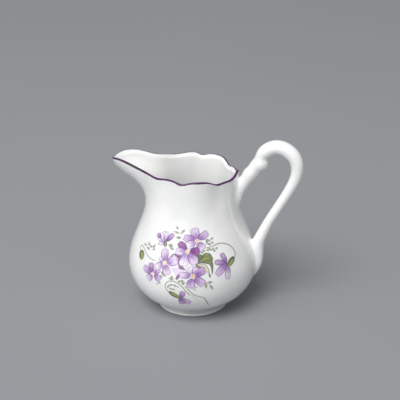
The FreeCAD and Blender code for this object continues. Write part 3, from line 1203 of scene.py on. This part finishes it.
# degrees round and height of one end, of the other, width
SPRIG_ROWS = (
    (-4.1, 58.3, -2.0, 57.0, 0.9), (-5.9, 55.7, -0.2, 55.1, 1.0), (2.0, 55.4, 5.5, 57.4, 1.1),
    (-3.0, 52.9, 1.8, 53.0, 1.3), (0.0, 53.4, 0.2, 52.5, 1.1), (4.0, 52.6, 5.2, 52.2, 0.7),
    (27.8, 51.1, 29.7, 52.2, 1.3), (30.0, 51.8, 31.7, 50.8, 0.9), (32.7, 51.7, 36.3, 52.6, 0.8),
    (33.1, 50.4, 35.9, 49.6, 0.8), (29.2, 49.8, 33.2, 49.2, 1.1), (28.1, 50.3, 29.4, 51.0, 0.9),
    (29.7, 47.3, 32.8, 46.5, 1.0), (33.6, 46.4, 36.7, 45.6, 0.8), (36.7, 46.8, 39.2, 47.3, 0.8),
    (33.3, 46.9, 35.4, 47.5, 0.7), (23.5, 46.8, 26.3, 46.1, 1.1), (21.3, 45.8, 24.4, 45.7, 0.9),
    (27.5, 47.0, 29.9, 46.3, 0.8), (-40.9, 45.0, -36.4, 44.8, 0.8), (-34.0, 45.5, -34.9, 47.3, 0.8),
    (-35.2, 44.0, -31.2, 43.7, 0.9), (-31.5, 45.0, -29.0, 45.8, 0.8), (-27.0, 45.4, -25.9, 47.4, 0.8),
    (-27.4, 44.5, -24.6, 44.6, 0.8), (-33.2, 46.3, -31.3, 45.3, 0.6), (-28.9, 45.7, -26.1, 45.5, 0.6),
    (-10.2, 48.7, -7.2, 48.0, 1.4), (-8.2, 47.5, -4.6, 46.7, 1.3), (-8.3, 49.1, -6.1, 48.1, 1.1),
    (-14.0, 33.9, -12.7, 34.7, 0.9), (-13.1, 34.0, -12.0, 32.4, 0.9), (-11.8, 33.5, -9.9, 32.2, 0.8),
    (-14.4, 32.5, -12.9, 30.9, 0.9), (-16.6, 28.9, -14.2, 27.4, 0.8), (-18.1, 26.9, -16.3, 27.7, 0.6),
    (-5.9, 31.7, -2.4, 31.7, 1.4), (-4.8, 33.0, -3.1, 32.4, 1.0), (24.6, 30.2, 25.3, 26.4, 1.4),
    (26.7, 29.9, 30.7, 30.2, 1.2), (28.5, 28.3, 31.3, 25.4, 1.2), (14.9, 26.4, 16.2, 26.2, 0.8),
    (16.4, 27.8, 17.3, 27.5, 0.6), (20.0, 28.0, 20.6, 27.7, 0.4), (-7.9, 26.5, -5.8, 28.1, 0.9),
    (-5.8, 28.1, -3.0, 28.5, 0.9), (-2.6, 28.4, 0.5, 27.8, 0.9), (-5.9, 26.1, -3.4, 25.5, 0.9),
    (-3.0, 26.0, -1.2, 25.2, 0.8), (0.5, 27.8, 2.0, 27.2, 0.6), (1.5, 30.8, 3.5, 30.5, 1.2),
    (3.5, 31.3, 6.8, 31.0, 1.1), (4.8, 30.5, 6.2, 28.8, 1.0), (5.9, 30.0, 7.7, 30.1, 0.8),
    (-21.4, 48.5, -18.3, 49.3, 0.8), (-22.3, 47.7, -21.4, 48.5, 0.6),
)
SPRIGS = tuple(Blade((a, b), (c, d), width) for a, b, c, d, width in SPRIG_ROWS)

STALKS = (
    Stalk(((1.0, 56.6), (1.2, 54.6), (4.8, 52.2), (8.0, 50.5)), 0.30, 0.22, GREY_GREEN, GREY_GREEN, 0.6),
    Stalk(((26.5, 49.4), (29.0, 50.6), (32.0, 51.0), (34.5, 51.6)),
          0.26, 0.18, GREY_GREEN, GREY_GREEN, 0.6),
    Stalk(((23.0, 46.0), (28.0, 46.6), (33.0, 46.8), (37.0, 46.7)),
          0.26, 0.18, GREY_GREEN, GREY_GREEN, 0.6),
    Stalk(((-38.5, 46.2), (-34.0, 44.6), (-29.5, 45.0), (-25.0, 46.0)),
          0.26, 0.18, GREY_GREEN, GREY_GREEN, 0.6),
    Stalk(((54.7, 39.7), (57.2, 41.7), (56.5, 44.2), (52.6, 46.9), (45.5, 48.7), (39.0, 49.0), (34.1, 48.3),
          (27.5, 47.9)), 0.62, 0.72),
    Stalk(((-43.6, 40.6), (-45.8, 41.9), (-44.0, 43.5), (-39.4, 42.9), (-33.8, 40.9), (-28.1, 39.6),
          (-23.0, 39.3)), 0.60, 0.50),
    Stalk(((-23.0, 39.3), (-18.5, 39.1), (-14.2, 39.2)), 0.4, 0.3, strength=0.45),
    Stalk(((-5.9, 23.2), (-9.1, 25.2), (-9.9, 27.6), (-7.9, 29.6), (-4.6, 30.5), (-0.5, 30.2), (2.9, 29.0),
          (5.6, 27.4), (8.0, 25.1), (11.3, 23.0)), 0.66, 0.60),
    Stalk(((7.5, 28.2), (9.2, 26.9), (12.5, 24.5), (16.1, 22.6), (20.4, 21.5), (23.9, 20.2), (25.9, 17.9),
          (28.8, 14.6)), 0.55, 0.70),
    Stalk(((6.5, 25.8), (12.5, 23.1), (16.8, 20.1), (20.4, 17.2)), 0.36, 0.26, strength=0.5),
    Stalk(((-14.2, 48.0), (-13.4, 46.2)), 0.4, 0.3, strength=0.6),
)

LEAF = (
    Patch(((17.0, 44.6), (19.6, 45.0), (22.9, 44.6), (23.1, 43.0), (21.6, 42.0), (18.9, 40.2), (16.4, 39.2),
          (17.7, 41.3), (18.7, 43.1)), (66, 70, 10), (34, 36, 2)),
    Patch(((23.1, 44.4), (25.1, 45.4), (28.3, 45.4), (30.8, 44.8), (32.1, 43.5), (32.9, 42.2), (32.3, 41.3),
          (32.5, 39.2), (32.0, 37.0), (31.0, 34.3), (30.3, 35.6), (30.0, 37.9), (28.6, 39.5), (25.4, 40.1),
          (21.5, 40.4), (18.9, 40.1), (21.6, 41.8), (22.7, 43.0)), (96, 106, 14), (40, 46, 2)),
    Patch(((22.3, 41.9), (24.1, 43.1), (26.5, 43.4), (29.2, 43.0), (29.9, 42.2), (27.0, 42.1), (24.6, 41.8),
          (23.2, 41.5)), (176, 186, 78), (120, 130, 36), 0.5),
    Patch(((25.2, 44.8), (27.2, 44.9), (28.6, 44.3), (26.6, 44.0)), (160, 164, 100), (150, 156, 86),
          0.4, 0.6),
    Patch(((17.6, 39.2), (20.2, 39.9), (23.7, 40.2), (25.9, 39.4), (27.4, 38.1), (28.2, 36.6), (29.0, 33.8),
          (28.1, 33.3), (27.0, 35.1), (25.3, 36.5), (24.1, 37.9), (21.3, 38.4), (19.1, 38.1)),
          (232, 232, 208), (112, 96, 60), 0.2, 1.0),
    Patch(((16.2, 39.0), (17.9, 39.6), (19.8, 39.1), (22.0, 38.4), (20.3, 38.0), (18.1, 37.7),
          (16.8, 38.1)), (104, 80, 52), (84, 62, 44), 0.3, 0.7),
    Patch(((27.7, 33.9), (28.8, 34.2), (29.4, 33.4), (28.5, 32.7)), (62, 52, 40), (50, 42, 34)),
)

LEAF_LINES = (
    Stalk(((17.6, 40.0), (20.5, 41.6), (22.9, 43.1), (24.5, 44.6)), 0.3, 0.22, OLIVE_DARK, OLIVE_DARK, 0.8),
    Stalk(((22.0, 41.2), (25.5, 41.4), (29.0, 41.6), (32.2, 42.2)), 0.26, 0.2, OLIVE_DARK, OLIVE_DARK, 0.7),
    Stalk(((19.0, 38.9), (23.0, 39.2), (26.0, 38.4), (27.9, 36.2), (28.7, 33.9)), 0.26, 0.34, (112, 92, 64),
          (112, 92, 64), 0.9),
    Stalk(((30.9, 38.8), (31.2, 36.4), (31.0, 34.6)), 0.24, 0.18, OLIVE_DARK, OLIVE_DARK, 0.7),
)

SHADOWS = (
    Patch(((-5.3, 37.0), (-0.2, 38.1), (6.2, 37.7), (10.1, 36.3), (8.9, 34.8), (3.3, 34.6), (0.3, 33.6),
          (-2.4, 35.3)), (222, 206, 234), (206, 184, 224), 0.9, 0.8),
    Patch(((-7.9, 42.6), (-6.1, 44.1), (-3.8, 44.9), (-0.9, 44.7), (2.3, 44.0), (1.7, 43.2), (-1.0, 43.4),
          (-4.0, 44.1), (-5.9, 43.3)), (126, 52, 128), PLUM),
    Patch(((-1.2, 43.6), (2.3, 44.1), (5.7, 44.1), (2.9, 42.2), (2.1, 40.4), (1.2, 39.6), (-0.6, 41.0),
          (0.0, 42.2)), (130, 58, 136), PLUM),
    Patch(((1.0, 39.8), (3.2, 39.5), (5.5, 38.6), (7.6, 37.3), (5.6, 37.2), (2.4, 37.5), (1.4, 38.4)),
          (122, 48, 126), PLUM),
    Patch(((13.8, 47.4), (15.9, 48.4), (18.4, 48.7), (20.5, 47.6), (20.6, 46.6), (18.6, 45.4), (15.8, 45.6),
          (12.4, 45.9)), (132, 52, 138), PLUM),
    Patch(((-0.5, 31.6), (-0.3, 33.2), (1.5, 34.5), (3.3, 35.1), (2.8, 33.8), (1.6, 32.2)), (126, 50, 130),
          PLUM),
)

BARE, WHITE, LIGHT, MIDDLE, VIOLET, DARK = Tone
FAN = (
    Petal((-19.5, 49.6), (-24.6, 51.0), 2.0, BARE), Petal((-16.8, 49.9), (-21.4, 54.2), 3.0, BARE),
    Petal((-15.4, 50.0), (-18.0, 55.2), 2.6, BARE), Petal((-14.8, 50.2), (-14.9, 55.2), 2.3, WHITE),
    Petal((-21.6, 51.2), (-26.6, 52.6), 2.6, VIOLET), Petal((-13.0, 50.6), (-6.4, 54.6), 2.7, VIOLET),
    Petal((-16.5, 49.1), (-22.2, 48.3), 1.9, BARE),
)
LEFT_FLOWERS = (
    Petal((-23.6, 33.2), (-26.5, 37.7), 3.9, VIOLET), Petal((-25.3, 32.7), (-34.4, 33.9), 4.0, MIDDLE),
    Petal((-20.5, 31.5), (-14.4, 29.5), 4.1, MIDDLE), Petal((-23.5, 31.0), (-28.3, 27.9), 4.1, LIGHT),
    Petal((-21.1, 33.0), (-15.1, 35.2), 2.8, MIDDLE), Petal((-14.0, 39.8), (-17.8, 41.9), 3.0, WHITE),
    Petal((-14.0, 38.7), (-20.6, 35.5), 3.7, WHITE), Petal((-11.7, 40.8), (-13.8, 46.7), 4.5, LIGHT),
    Petal((-9.0, 39.9), (0.0, 42.2), 5.3, LIGHT), Petal((-11.0, 38.3), (-7.7, 33.3), 4.8, LIGHT),
)
RIGHT_FLOWERS = (
    Petal((45.3, 39.0), (41.6, 44.2), 3.1, VIOLET), Petal((44.3, 38.5), (33.5, 40.4), 3.0, VIOLET),
    Petal((44.5, 37.6), (34.2, 33.2), 4.2, MIDDLE), Petal((46.5, 36.8), (44.8, 29.5), 3.6, LIGHT),
)
LOW_FLOWERS = (
    Petal((3.1, 20.8), (6.0, 25.2), 3.1, VIOLET), Petal((3.1, 20.2), (12.0, 16.7), 3.7, MIDDLE),
    Petal((2.4, 19.8), (5.0, 15.6), 3.4, VIOLET), Petal((15.9, 34.8), (25.0, 37.1), 4.7, VIOLET),
    Petal((11.3, 34.0), (1.8, 34.5), 3.6, LIGHT), Petal((13.4, 32.3), (12.2, 26.8), 5.0, MIDDLE),
    Petal((16.3, 33.2), (23.6, 28.6), 4.6, MIDDLE), Petal((13.9, 34.8), (10.3, 38.7), 4.5, WHITE),
    Petal((15.0, 35.0), (16.6, 38.9), 3.4, LIGHT),
)
TOP_FLOWERS = (
    Petal((18.0, 53.0), (15.9, 58.4), 4.9, LIGHT), Petal((20.2, 52.7), (30.8, 55.8), 3.9, MIDDLE),
    Petal((15.7, 52.3), (4.0, 53.2), 3.8, MIDDLE), Petal((19.3, 50.5), (25.4, 47.1), 4.6, LIGHT),
    Petal((16.0, 51.2), (6.8, 48.7), 4.5, WHITE),
)
MIDDLE_FLOWERS = (
    Petal((7.4, 47.3), (-0.8, 50.7), 3.7, DARK), Petal((11.7, 46.2), (21.1, 46.9), 4.0, DARK),
    Petal((7.1, 45.8), (-3.2, 46.3), 4.0, LIGHT), Petal((8.0, 44.9), (4.4, 38.7), 5.0, WHITE),
    Petal((10.9, 45.0), (16.6, 39.6), 4.9, LIGHT),
)
# degrees round, height, size, share of orange in the heart
EYES = (
    (18.3, 51.7, 1.25, 0.7), (9.0, 46.3, 1.4, 0.65), (-12.1, 39.4, 1.45, 0.2), (14.0, 33.9, 1.5, 0.95),
    (-22.5, 32.2, 1.0, 0.3),
)
BUDS = (
    Bud((-42.2, 41.4), (-38.4, 36.7), 4.5), Bud((54.9, 40.4), (45.6, 36.6), 3.3),
    Bud((-6.9, 23.8), (3.0, 20.3), 2.9),
    Bud((-15.3, 50.1), (-13.9, 47.3), 2.3, (96, 98, 66), (164, 164, 130)),
)


@dataclass
class Painter:
    """Lays the marks of the spray, one over another, on the points of a curved sheet."""

    body: BodyForm
    points: Array
    rooted: float = 0.14
    colour: Array = field(init=False)
    cover: Array = field(init=False)

    def __post_init__(self) -> None:
        """Starts bare."""
        self.colour = np.tile(ink(215, 195, 230), (len(self.points), 1))
        self.cover = np.zeros(len(self.points))
        self.chance = np.random.default_rng(SEED)

    def spot(self, at: Spot) -> Array:
        """The point on the wall at degrees round from the middle of the front, and a height."""
        return self.body.place(np.array(90.0 + at[0]), np.array(at[1]))

    @staticmethod
    def rightwards(middle: Array) -> Array:
        """The level direction along the wall at a place."""
        return unit(np.cross((0.0, 0.0, 1.0), unit(middle * (1.0, 1.0, 0.0))))

    def near(self, middle: Array, reach: float) -> Array:
        """Numbers of the points within reach of a place."""
        return np.flatnonzero(np.linalg.norm(self.points - middle, axis=1) < reach)

    def lay(self, where: Array, colour: Array, alpha: Array) -> None:
        """Lays colour over what is there.

        Args:
            where: Numbers of the points.
            colour: Linear colour, one for all or one for each.
            alpha: How much each is covered, 0 to 1.
        """
        below = self.cover[where] * (1.0 - alpha)
        total = np.maximum(alpha + below, 1e-6)
        mixed = (colour * alpha[:, None] + self.colour[where] * below[:, None]) / total[:, None]
        self.colour[where] = np.where(alpha[:, None] > 0.001, mixed, self.colour[where])
        self.cover[where] = alpha + below

    def frame_at(self, base: Array, tip: Array) -> tuple[Array, Array, float]:
        """Directions along and across a mark on the wall, and its length."""
        way = tip - base
        length = float(np.linalg.norm(way))
        middle = (base + tip) / 2.0
        outward = unit(middle * (1.0, 1.0, 0.0))
        along = way / length
        across = unit(np.cross(outward, along))
        return along, across, length

    def measured(self, base: Spot, tip: Spot, width: float) -> tuple[Array, Array, Array, float]:
        """Places points along and across a mark.

        Args:
            base: One end of it.
            tip: Its other end.
            width: Its greatest width.

        Returns:
            Numbers of the points near it, their share along it, their millimetres across it, and its length.
        """
        first, last = self.spot(base), self.spot(tip)
        along, across, length = self.frame_at(first, last)
        where = self.near((first + last) / 2.0, 0.62 * length + width)
        offset = self.points[where] - first
        return where, offset @ along / length, offset @ across, length

    def petal(self, mark: Petal) -> None:
        """Paints one petal: dark streaks out of its throat, a pale far side and a thin violet outline."""
        base = tuple(b - self.rooted * (t - b) for b, t in zip(mark.base, mark.tip))
        where, up, across, length = self.measured(base, mark.tip, mark.width)
        lean, phase, turn = self.chance.uniform(-1.0, 1.0, 3)
        across = across + 0.07 * lean * mark.width * np.sin(math.pi * np.clip(up, 0.0, 1.0))
        reach = np.clip(up, 0.0, 1.0)
        wave = 1.0 + 0.03 * np.sin(9.0 * up + 3.0 * phase)
        body = np.maximum(1.0 - np.abs(2.0 * reach**1.45 - 1.0) ** 2.6, 0.0) ** 0.5
        side = np.maximum(mark.width / 2.0 * body * wave, 0.12)
        notch = 0.06 * np.exp(-((across / (0.14 * mark.width)) ** 2))
        inside = np.minimum(side - np.abs(across), np.minimum(up + 0.02, 1.0 - notch - up) * length)
        inks = mark.tone.value
        flesh, pale, edge, vein = (ink(*c) for c in (inks.flesh, inks.pale, inks.edge, inks.vein))
        flank = np.clip(across / side, -1.0, 1.0)
        far = up + 0.26 * turn * flank + 0.06 * np.sin(6.0 * flank + 3.0 * phase)
        colour = flesh + (pale - flesh) * ease(0.24, 0.72, far)[:, None]
        throat = 0.46 * (1.0 - ease(0.1, 0.42, up + 0.1 * np.sin(8.0 * flank)))
        colour = colour + (vein - colour) * throat[:, None]
        fan = np.abs(np.sin(math.pi * (2.5 * flank + 0.5 + 0.1 * lean)))
        fade = 0.62 + 0.2 * np.sin(5.0 * flank + 3.0 * turn)
        lines = ease(0.72, 0.98, fan) * ease(0.1, 0.24, up) * ease(fade + 0.18, fade - 0.2, up)
        colour = colour + (vein - colour) * (0.55 * lines)[:, None]
        rim = ease(0.50, 0.16, inside) * (0.75 + 0.25 * ease(0.9, 0.3, up))
        colour = colour + (edge - colour) * rim[:, None]
        self.lay(where, colour, 0.97 * ease(-0.1, 0.12, inside))

    def blade(self, mark: Blade) -> None:
        """Paints one small grey-green leaf, pointed at both ends and joined to its stem by a thread."""
        stem = tuple(a - 0.35 * (b - a) for a, b in zip(mark.start, mark.end))
        where, up, across, length = self.measured(stem, mark.end, mark.width)
        reach = np.clip(up, 0.0, 1.0)
        side = 0.52 * mark.width * np.sin(math.pi * reach**1.3) ** 1.3 + 0.09
        inside = np.minimum(side - np.abs(across), np.minimum(up, 1.0 - up) * length + 0.1)
        tint = self.chance.uniform(-10.0, 10.0)
        colour = ink(*(c + tint for c in GREY_GREEN))
        self.lay(where, colour, 0.82 * ease(-0.12, 0.14, inside))

    def stalk(self, mark: Stalk) -> None:
        """Paints a brushed line with a darker underside."""
        corners = np.array([self.spot(at) for at in mark.line])
        knots = np.r_[0.0, np.cumsum(np.linalg.norm(np.diff(corners, axis=0), axis=1))]
        at = np.linspace(0.0, knots[-1], 24 * len(corners))
        path = smooth_through(knots, corners, at)
        middle = path.mean(axis=0)
        reach = np.linalg.norm(path - middle, axis=1).max() + 1.0
        where = self.near(middle, reach)
        gaps = np.linalg.norm(self.points[where][:, None] - path[None], axis=2)
        nearest = gaps.argmin(axis=1)
        gap = gaps[np.arange(len(where)), nearest]
        share = at[nearest] / knots[-1]
        half = 0.5 * (mark.thick + (mark.thin - mark.thick) * share)
        half = half * (1.0 + 0.12 * np.sin(7.0 * at[nearest]))
        low = self.points[where][:, 2] - path[nearest][:, 2]
        under = ease(0.12, -0.18, low)[:, None] if mark.thick > 0.3 else np.zeros((len(where), 1))
        colour = ink(*mark.colour) + (ink(*mark.shade) - ink(*mark.colour)) * under
        shown = ease(half.max() + 0.14, 0.0, gap) * ease(-0.16, 0.1, half - gap)
        self.lay(where, colour, mark.strength * shown)

    def patch(self, mark: Patch) -> None:
        """Paints a shape, its colour running to the edge colour along its outline."""
        corners = np.array([self.spot(at) for at in mark.outline])
        middle = corners.mean(axis=0)
        right = self.rightwards(middle)
        flat = np.stack([(corners - middle) @ right, (corners - middle)[:, 2]], axis=1)
        knots = np.arange(len(flat) * 3 + 1, dtype=float)
        rounded = smooth_through(knots, np.concatenate([flat, flat, flat, flat[:1]]),
                                 np.linspace(len(flat), 2 * len(flat), 8 * len(flat), endpoint=False))
        where = self.near(middle, np.linalg.norm(flat, axis=1).max() + 1.2)
        offset = self.points[where] - middle
        place = np.stack([offset @ right, offset[:, 2]], axis=1)
        start, end = rounded, np.roll(rounded, -1, axis=0)
        way = end - start
        from_start = place[:, None] - start[None]
        share = np.clip((from_start * way).sum(2) / (way * way).sum(1), 0.0, 1.0)
        gap = np.linalg.norm(from_start - share[..., None] * way, axis=2).min(axis=1)
        above = start[None, :, 1] > place[:, None, 1]
        crosses = above != (end[None, :, 1] > place[:, None, 1])
        run = np.where(way[:, 1] == 0.0, 1e-9, way[:, 1])
        hit = start[None, :, 0] + (place[:, None, 1] - start[None, :, 1]) * way[:, 0] / run
        within = (crosses & (place[:, None, 0] < hit)).sum(axis=1) % 2 == 1
        inside = np.where(within, gap, -gap)
        rim = 1.0 - ease(0.0, 0.5 + mark.soft, inside)
        grain = 0.12 * np.sin(5.0 * place[:, 0] + 3.0 * place[:, 1]) * np.sin(4.0 * place[:, 1])
        inner = ink(*mark.colour) * (1.0 + grain[:, None])
        colour = inner + (ink(*mark.edge) - inner) * (0.8 * rim)[:, None]
        self.lay(where, colour, mark.strength * ease(-0.5 * mark.soft, 0.5 * mark.soft, inside))

    def bud(self, mark: Bud) -> None:
        """Paints a calyx, its light side towards the top left."""
        where, up, across, length = self.measured(mark.start, mark.end, mark.width)
        reach = np.clip(up, 0.0, 1.0)
        side = mark.width / 2.0 * np.sqrt(np.maximum(np.sin(math.pi * reach**0.85), 0.0))
        inside = np.minimum(side - np.abs(across), np.minimum(up + 0.02, 1.0 - up) * length)
        flank = np.clip(across / np.maximum(side, 0.05), -1.0, 1.0)
        glow = np.exp(-(((flank - 0.2) / 0.42) ** 2)) * ease(0.05, 0.35, up)
        colour = ink(*mark.dark) + (ink(*mark.lit) - ink(*mark.dark)) * glow[:, None]
        ribs = ease(0.75, 1.0, np.abs(np.sin(math.pi * 1.5 * flank)))
        colour = colour * (1.0 - 0.25 * ribs[:, None])
        self.lay(where, colour, 0.95 * ease(-0.14, 0.16, inside))

    def eye(self, degrees: float, height: float, size: float, orange: float) -> None:
        """Paints a flower's cream middle with its orange heart and a few dark strokes round it."""
        middle = self.spot((degrees, height))
        where = self.near(middle, 2.2 * size)
        offset = self.points[where] - middle
        right = self.rightwards(middle)
        turn = np.arctan2(offset[:, 2], offset @ right)
        gap = np.linalg.norm(offset, axis=1)
        star = size * (1.0 + 0.14 * np.sin(5.0 * turn + degrees))
        shown = 0.9 * ease(star.max() * 1.25, 0.35 * size, gap) * ease(-0.3, 0.3, star - gap)
        self.lay(where, ink(250, 236, 214), shown)
        strokes = ease(0.7, 1.0, np.sin(3.0 * turn + height)) * ease(0.4 * size, 0.6 * size, gap)
        self.lay(where, ink(160, 100, 150), 0.45 * strokes * ease(1.3 * size, 0.8 * size, gap))
        self.lay(where, ink(238, 172, 84), orange * ease(0.66 * size, 0.24 * size, gap))

    def spray(self) -> None:
        """Paints the whole spray from back to front."""
        flowers = FAN + LEFT_FLOWERS + RIGHT_FLOWERS + LOW_FLOWERS + TOP_FLOWERS + MIDDLE_FLOWERS
        for kind, marks in (
            (self.blade, SPRIGS), (self.stalk, STALKS), (self.patch, LEAF), (self.stalk, LEAF_LINES),
            (self.patch, SHADOWS), (self.petal, flowers), (self.bud, BUDS),
        ):
            for mark in marks:
                kind(mark)
        for degrees, height, size, orange in EYES:
            self.eye(degrees, height, size, orange)


@dataclass
class VioletTransfer:
    """A printed spray of violets, a thin sheet wrapped on the wall with its paint held at its vertices."""

    body: BodyForm
    side: Side
    span: tuple[float, float, float, float] = (-50.0, 61.0, 13.0, 59.6)
    cells: tuple[int, int] = (452, 330)
    proud: float = 0.06
    faintest: float = 0.004
    margin: int = 2

    def wrapped(self, share: Array) -> Array:
        """Points a little proud of the wall.

        Args:
            share: Two columns, how far along the sheet's width and height each vertex is.

        Returns:
            The points.
        """
        left, right, low, high = self.span
        degrees = 90.0 + left + (right - left) * share[:, 0]
        level = low + (high - low) * share[:, 1]
        here = self.body.place(degrees, level)
        small = 0.05
        round_it = self.body.place(degrees + small, level) - here
        up_it = self.body.place(degrees, level + small) - here
        return here + self.proud * unit(np.cross(round_it, up_it))

    def build(self, finish: Finish) -> Piece:
        """Cuts a sheet from a grid, paints it, trims what is bare and wraps it on its side of the jug.

        Args:
            finish: The print enamel.

        Returns:
            The print.
        """
        deselect_everything()
        wide, tall = self.cells
        bpy.ops.mesh.primitive_grid_add(x_subdivisions=wide, y_subdivisions=tall, size=2.0)
        piece = bpy.context.object
        piece.name = piece.data.name = f"violet_print_{self.side.name.lower()}"
        share = points_of(piece)[:, :2] * MM / 2.0 + 0.5
        points = self.wrapped(share)
        painter = Painter(self.body, points)
        painter.spray()
        paint = piece.data.attributes.new(name="paint", type="FLOAT_COLOR", domain="POINT")
        values = np.column_stack([painter.colour, painter.cover]).astype(np.float32)
        paint.data.foreach_set("color", values.ravel())
        move_points(piece, points * (1.0, self.side.value, 1.0))
        self.trim(piece, share, painter.cover)
        finished(piece, "print_enamel", finish, f"{self.side.name.lower()}_transfer")
        return piece

    def trim(self, piece: Piece, share: Array, cover: Array) -> None:
        """Cuts away the bare parts of the sheet, a little outside the paint.

        Args:
            piece: The sheet.
            share: Where each vertex lies on it.
            cover: How much each vertex is painted.
        """
        wide, tall = self.cells
        column = np.rint(share[:, 0] * wide).astype(int)
        row = np.rint(share[:, 1] * tall).astype(int)
        painted = np.zeros((tall + 1, wide + 1), bool)
        painted[row, column] = cover > self.faintest
        for _ in range(self.margin):
            grown = painted.copy()
            grown[1:] |= painted[:-1]
            grown[:-1] |= painted[1:]
            grown[:, 1:] |= painted[:, :-1]
            grown[:, :-1] |= painted[:, 1:]
            painted = grown
        bare = ~painted[row, column]
        open_for_edit(piece)
        bpy.ops.mesh.select_all(action="DESELECT")
        bpy.ops.mesh.select_mode(type="VERT")
        close_edit()
        piece.data.vertices.foreach_set("select", bare)
        bpy.ops.object.mode_set(mode="EDIT")
        bpy.ops.mesh.delete(type="VERT")
        bpy.ops.mesh.select_all(action="SELECT")
        close_edit()
        middle = np.array([p.center[:] for p in piece.data.polygons[:1]])
        normal = np.array([p.normal[:] for p in piece.data.polygons[:1]])
        if (middle[:, :2] * normal[:, :2]).sum() < 0.0:
            open_for_edit(piece)
            bpy.ops.mesh.flip_normals()
            close_edit()


# ---------------------------------------------------------------- studio


@dataclass
class Studio:
    """Plain pale floor, soft lamps and the camera."""

    low: Vector
    high: Vector
    azimuth: float = 13.5
    elevation: float = 22.0
    distance: float = 450.0
    lens: float = 72.5
    aim: Triple = (4.225, 0.0, 63.6)
    floor_size: float = 9.0
    # name, place, side length, watts
    lamps: tuple[tuple[str, Triple, float, float], ...] = (
        ("key_softbox", (-0.66, -0.90, 1.00), 1.1, 5.4), ("high_softbox", (-0.60, -0.75, 1.00), 0.22, 1.0),
        ("right_fill", (0.80, -0.80, 1.15), 1.0, 1.7), ("low_front", (-0.25, -1.00, 0.12), 0.6, 1.2),
    )
    sun_from: Triple = (-0.10, -0.72, 1.0)
    sun_spread: float = 30.0
    sun_strength: float = 2.1
    surround: Rgb = (226, 227, 228)
    surround_strength: float = 0.34

    def floor(self) -> Piece:
        """A wide pale floor with a slow swell of tone."""
        deselect_everything()
        bpy.ops.mesh.primitive_plane_add(size=self.floor_size, location=(0.0, 0.0, self.low.z))
        ground = bpy.context.object
        ground.name = "studio_floor"
        sketch = Sketch("studio_floor")
        tone = sketch.spread(sketch.noise(1.3, 2.0), "Fac", (0.3, 0.7, 0.0, 1.0))
        both = sketch.blend(ink(150, 152, 155), ink(146, 148, 152), (tone, "Result"))
        sketch.result_into(both, sketch.shader, "Base Color")
        sketch.give({"Roughness": 0.75, "Specular IOR Level": 0.2})
        ground.data.materials.append(sketch.material)
        ground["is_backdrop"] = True
        return ground

    def lamp(self, name: str, place: Triple, size: float, power: float) -> None:
        """Hangs a square soft lamp aimed at the jug.

        Args:
            name: Its name.
            place: Where it hangs, in metres.
            size: Length of its side, in metres.
            power: Its power in watts.
        """
        deselect_everything()
        bpy.ops.object.light_add(type="AREA", location=place)
        lamp = bpy.context.object
        lamp.name = name
        lamp.data.shape = "SQUARE"
        lamp.data.size = size
        lamp.data.energy = power
        target = (self.low + self.high) / 2.0
        lamp.rotation_euler = (target - Vector(place)).to_track_quat("-Z", "Y").to_euler()

    def sun(self, name: str, place: Triple, spread: float, strength: float) -> None:
        """Sets a soft distant light that reaches the whole floor evenly.

        Args:
            name: Its name.
            place: The side it shines from.
            spread: Its apparent width in degrees.
            strength: Its strength in watts per square metre.
        """
        deselect_everything()
        bpy.ops.object.light_add(type="SUN", location=place)
        sun = bpy.context.object
        sun.name = name
        sun.data.angle = math.radians(spread)
        sun.data.energy = strength
        sun.rotation_euler = (-Vector(place)).to_track_quat("-Z", "Y").to_euler()

    def light(self) -> None:
        """A broad key from the upper left, a soft sun, weak fills and an even pale surround."""
        for name, place, size, power in self.lamps:
            self.lamp(name, place, size, power)
        self.sun("soft_sun", self.sun_from, self.sun_spread, self.sun_strength)
        world = bpy.context.scene.world or bpy.data.worlds.new("studio_surround")
        bpy.context.scene.world = world
        world.use_nodes = True
        ground = world.node_tree.nodes["Background"]
        ground.inputs["Color"].default_value = (*ink(*self.surround), 1.0)
        ground.inputs["Strength"].default_value = self.surround_strength

    def camera(self) -> Piece:
        """The camera, at the height and turn from which the jug is shown."""
        across, up = math.radians(self.azimuth), math.radians(self.elevation)
        back = Vector((math.sin(across) * math.cos(up), -math.cos(across) * math.cos(up), math.sin(up)))
        deselect_everything()
        bpy.ops.object.camera_add(location=(Vector(self.aim) + back * self.distance) * MM)
        camera = bpy.context.object
        camera.name = "front_camera"
        camera.rotation_euler = (-back).to_track_quat("-Z", "Y").to_euler()
        camera.data.sensor_width = 36.0
        camera.data.lens = self.lens
        camera.data.clip_start = 0.01
        camera.data.clip_end = 30.0
        bpy.context.scene.camera = camera
        return camera


def main() -> None:
    """Builds and dresses the jug, then the studio."""
    logging.basicConfig(level=logging.INFO, format="%(message)s")
    cad_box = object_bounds()
    body = BodyForm.from_frame()
    handle = HandleForm(body)
    fillet = SlipFillet(body, handle)
    clear = Glaze("clear_glaze").material()
    JugBody(body, fillet).build(clear)
    # The handle's glaze is the body's glaze made whiter: painted light, so that the handle shows brighter.
    Handle(handle, fillet).build(Glaze("handle_glaze", pale=(253, 253, 251), dull=(246, 247, 246)).material())
    FootRing(body).build(FootGlaze("foot_glaze").material())
    RimLine(body).build(RimEnamel("rim_enamel").material())
    enamel = PrintEnamel("print_enamel").material()
    for side in Side:
        VioletTransfer(body, side).build(enamel)
    studio = Studio(*cad_box)
    studio.floor()
    studio.light()
    studio.camera()
    bpy.context.scene.view_settings.view_transform = "Standard"


if __name__ == "__main__":
    main()
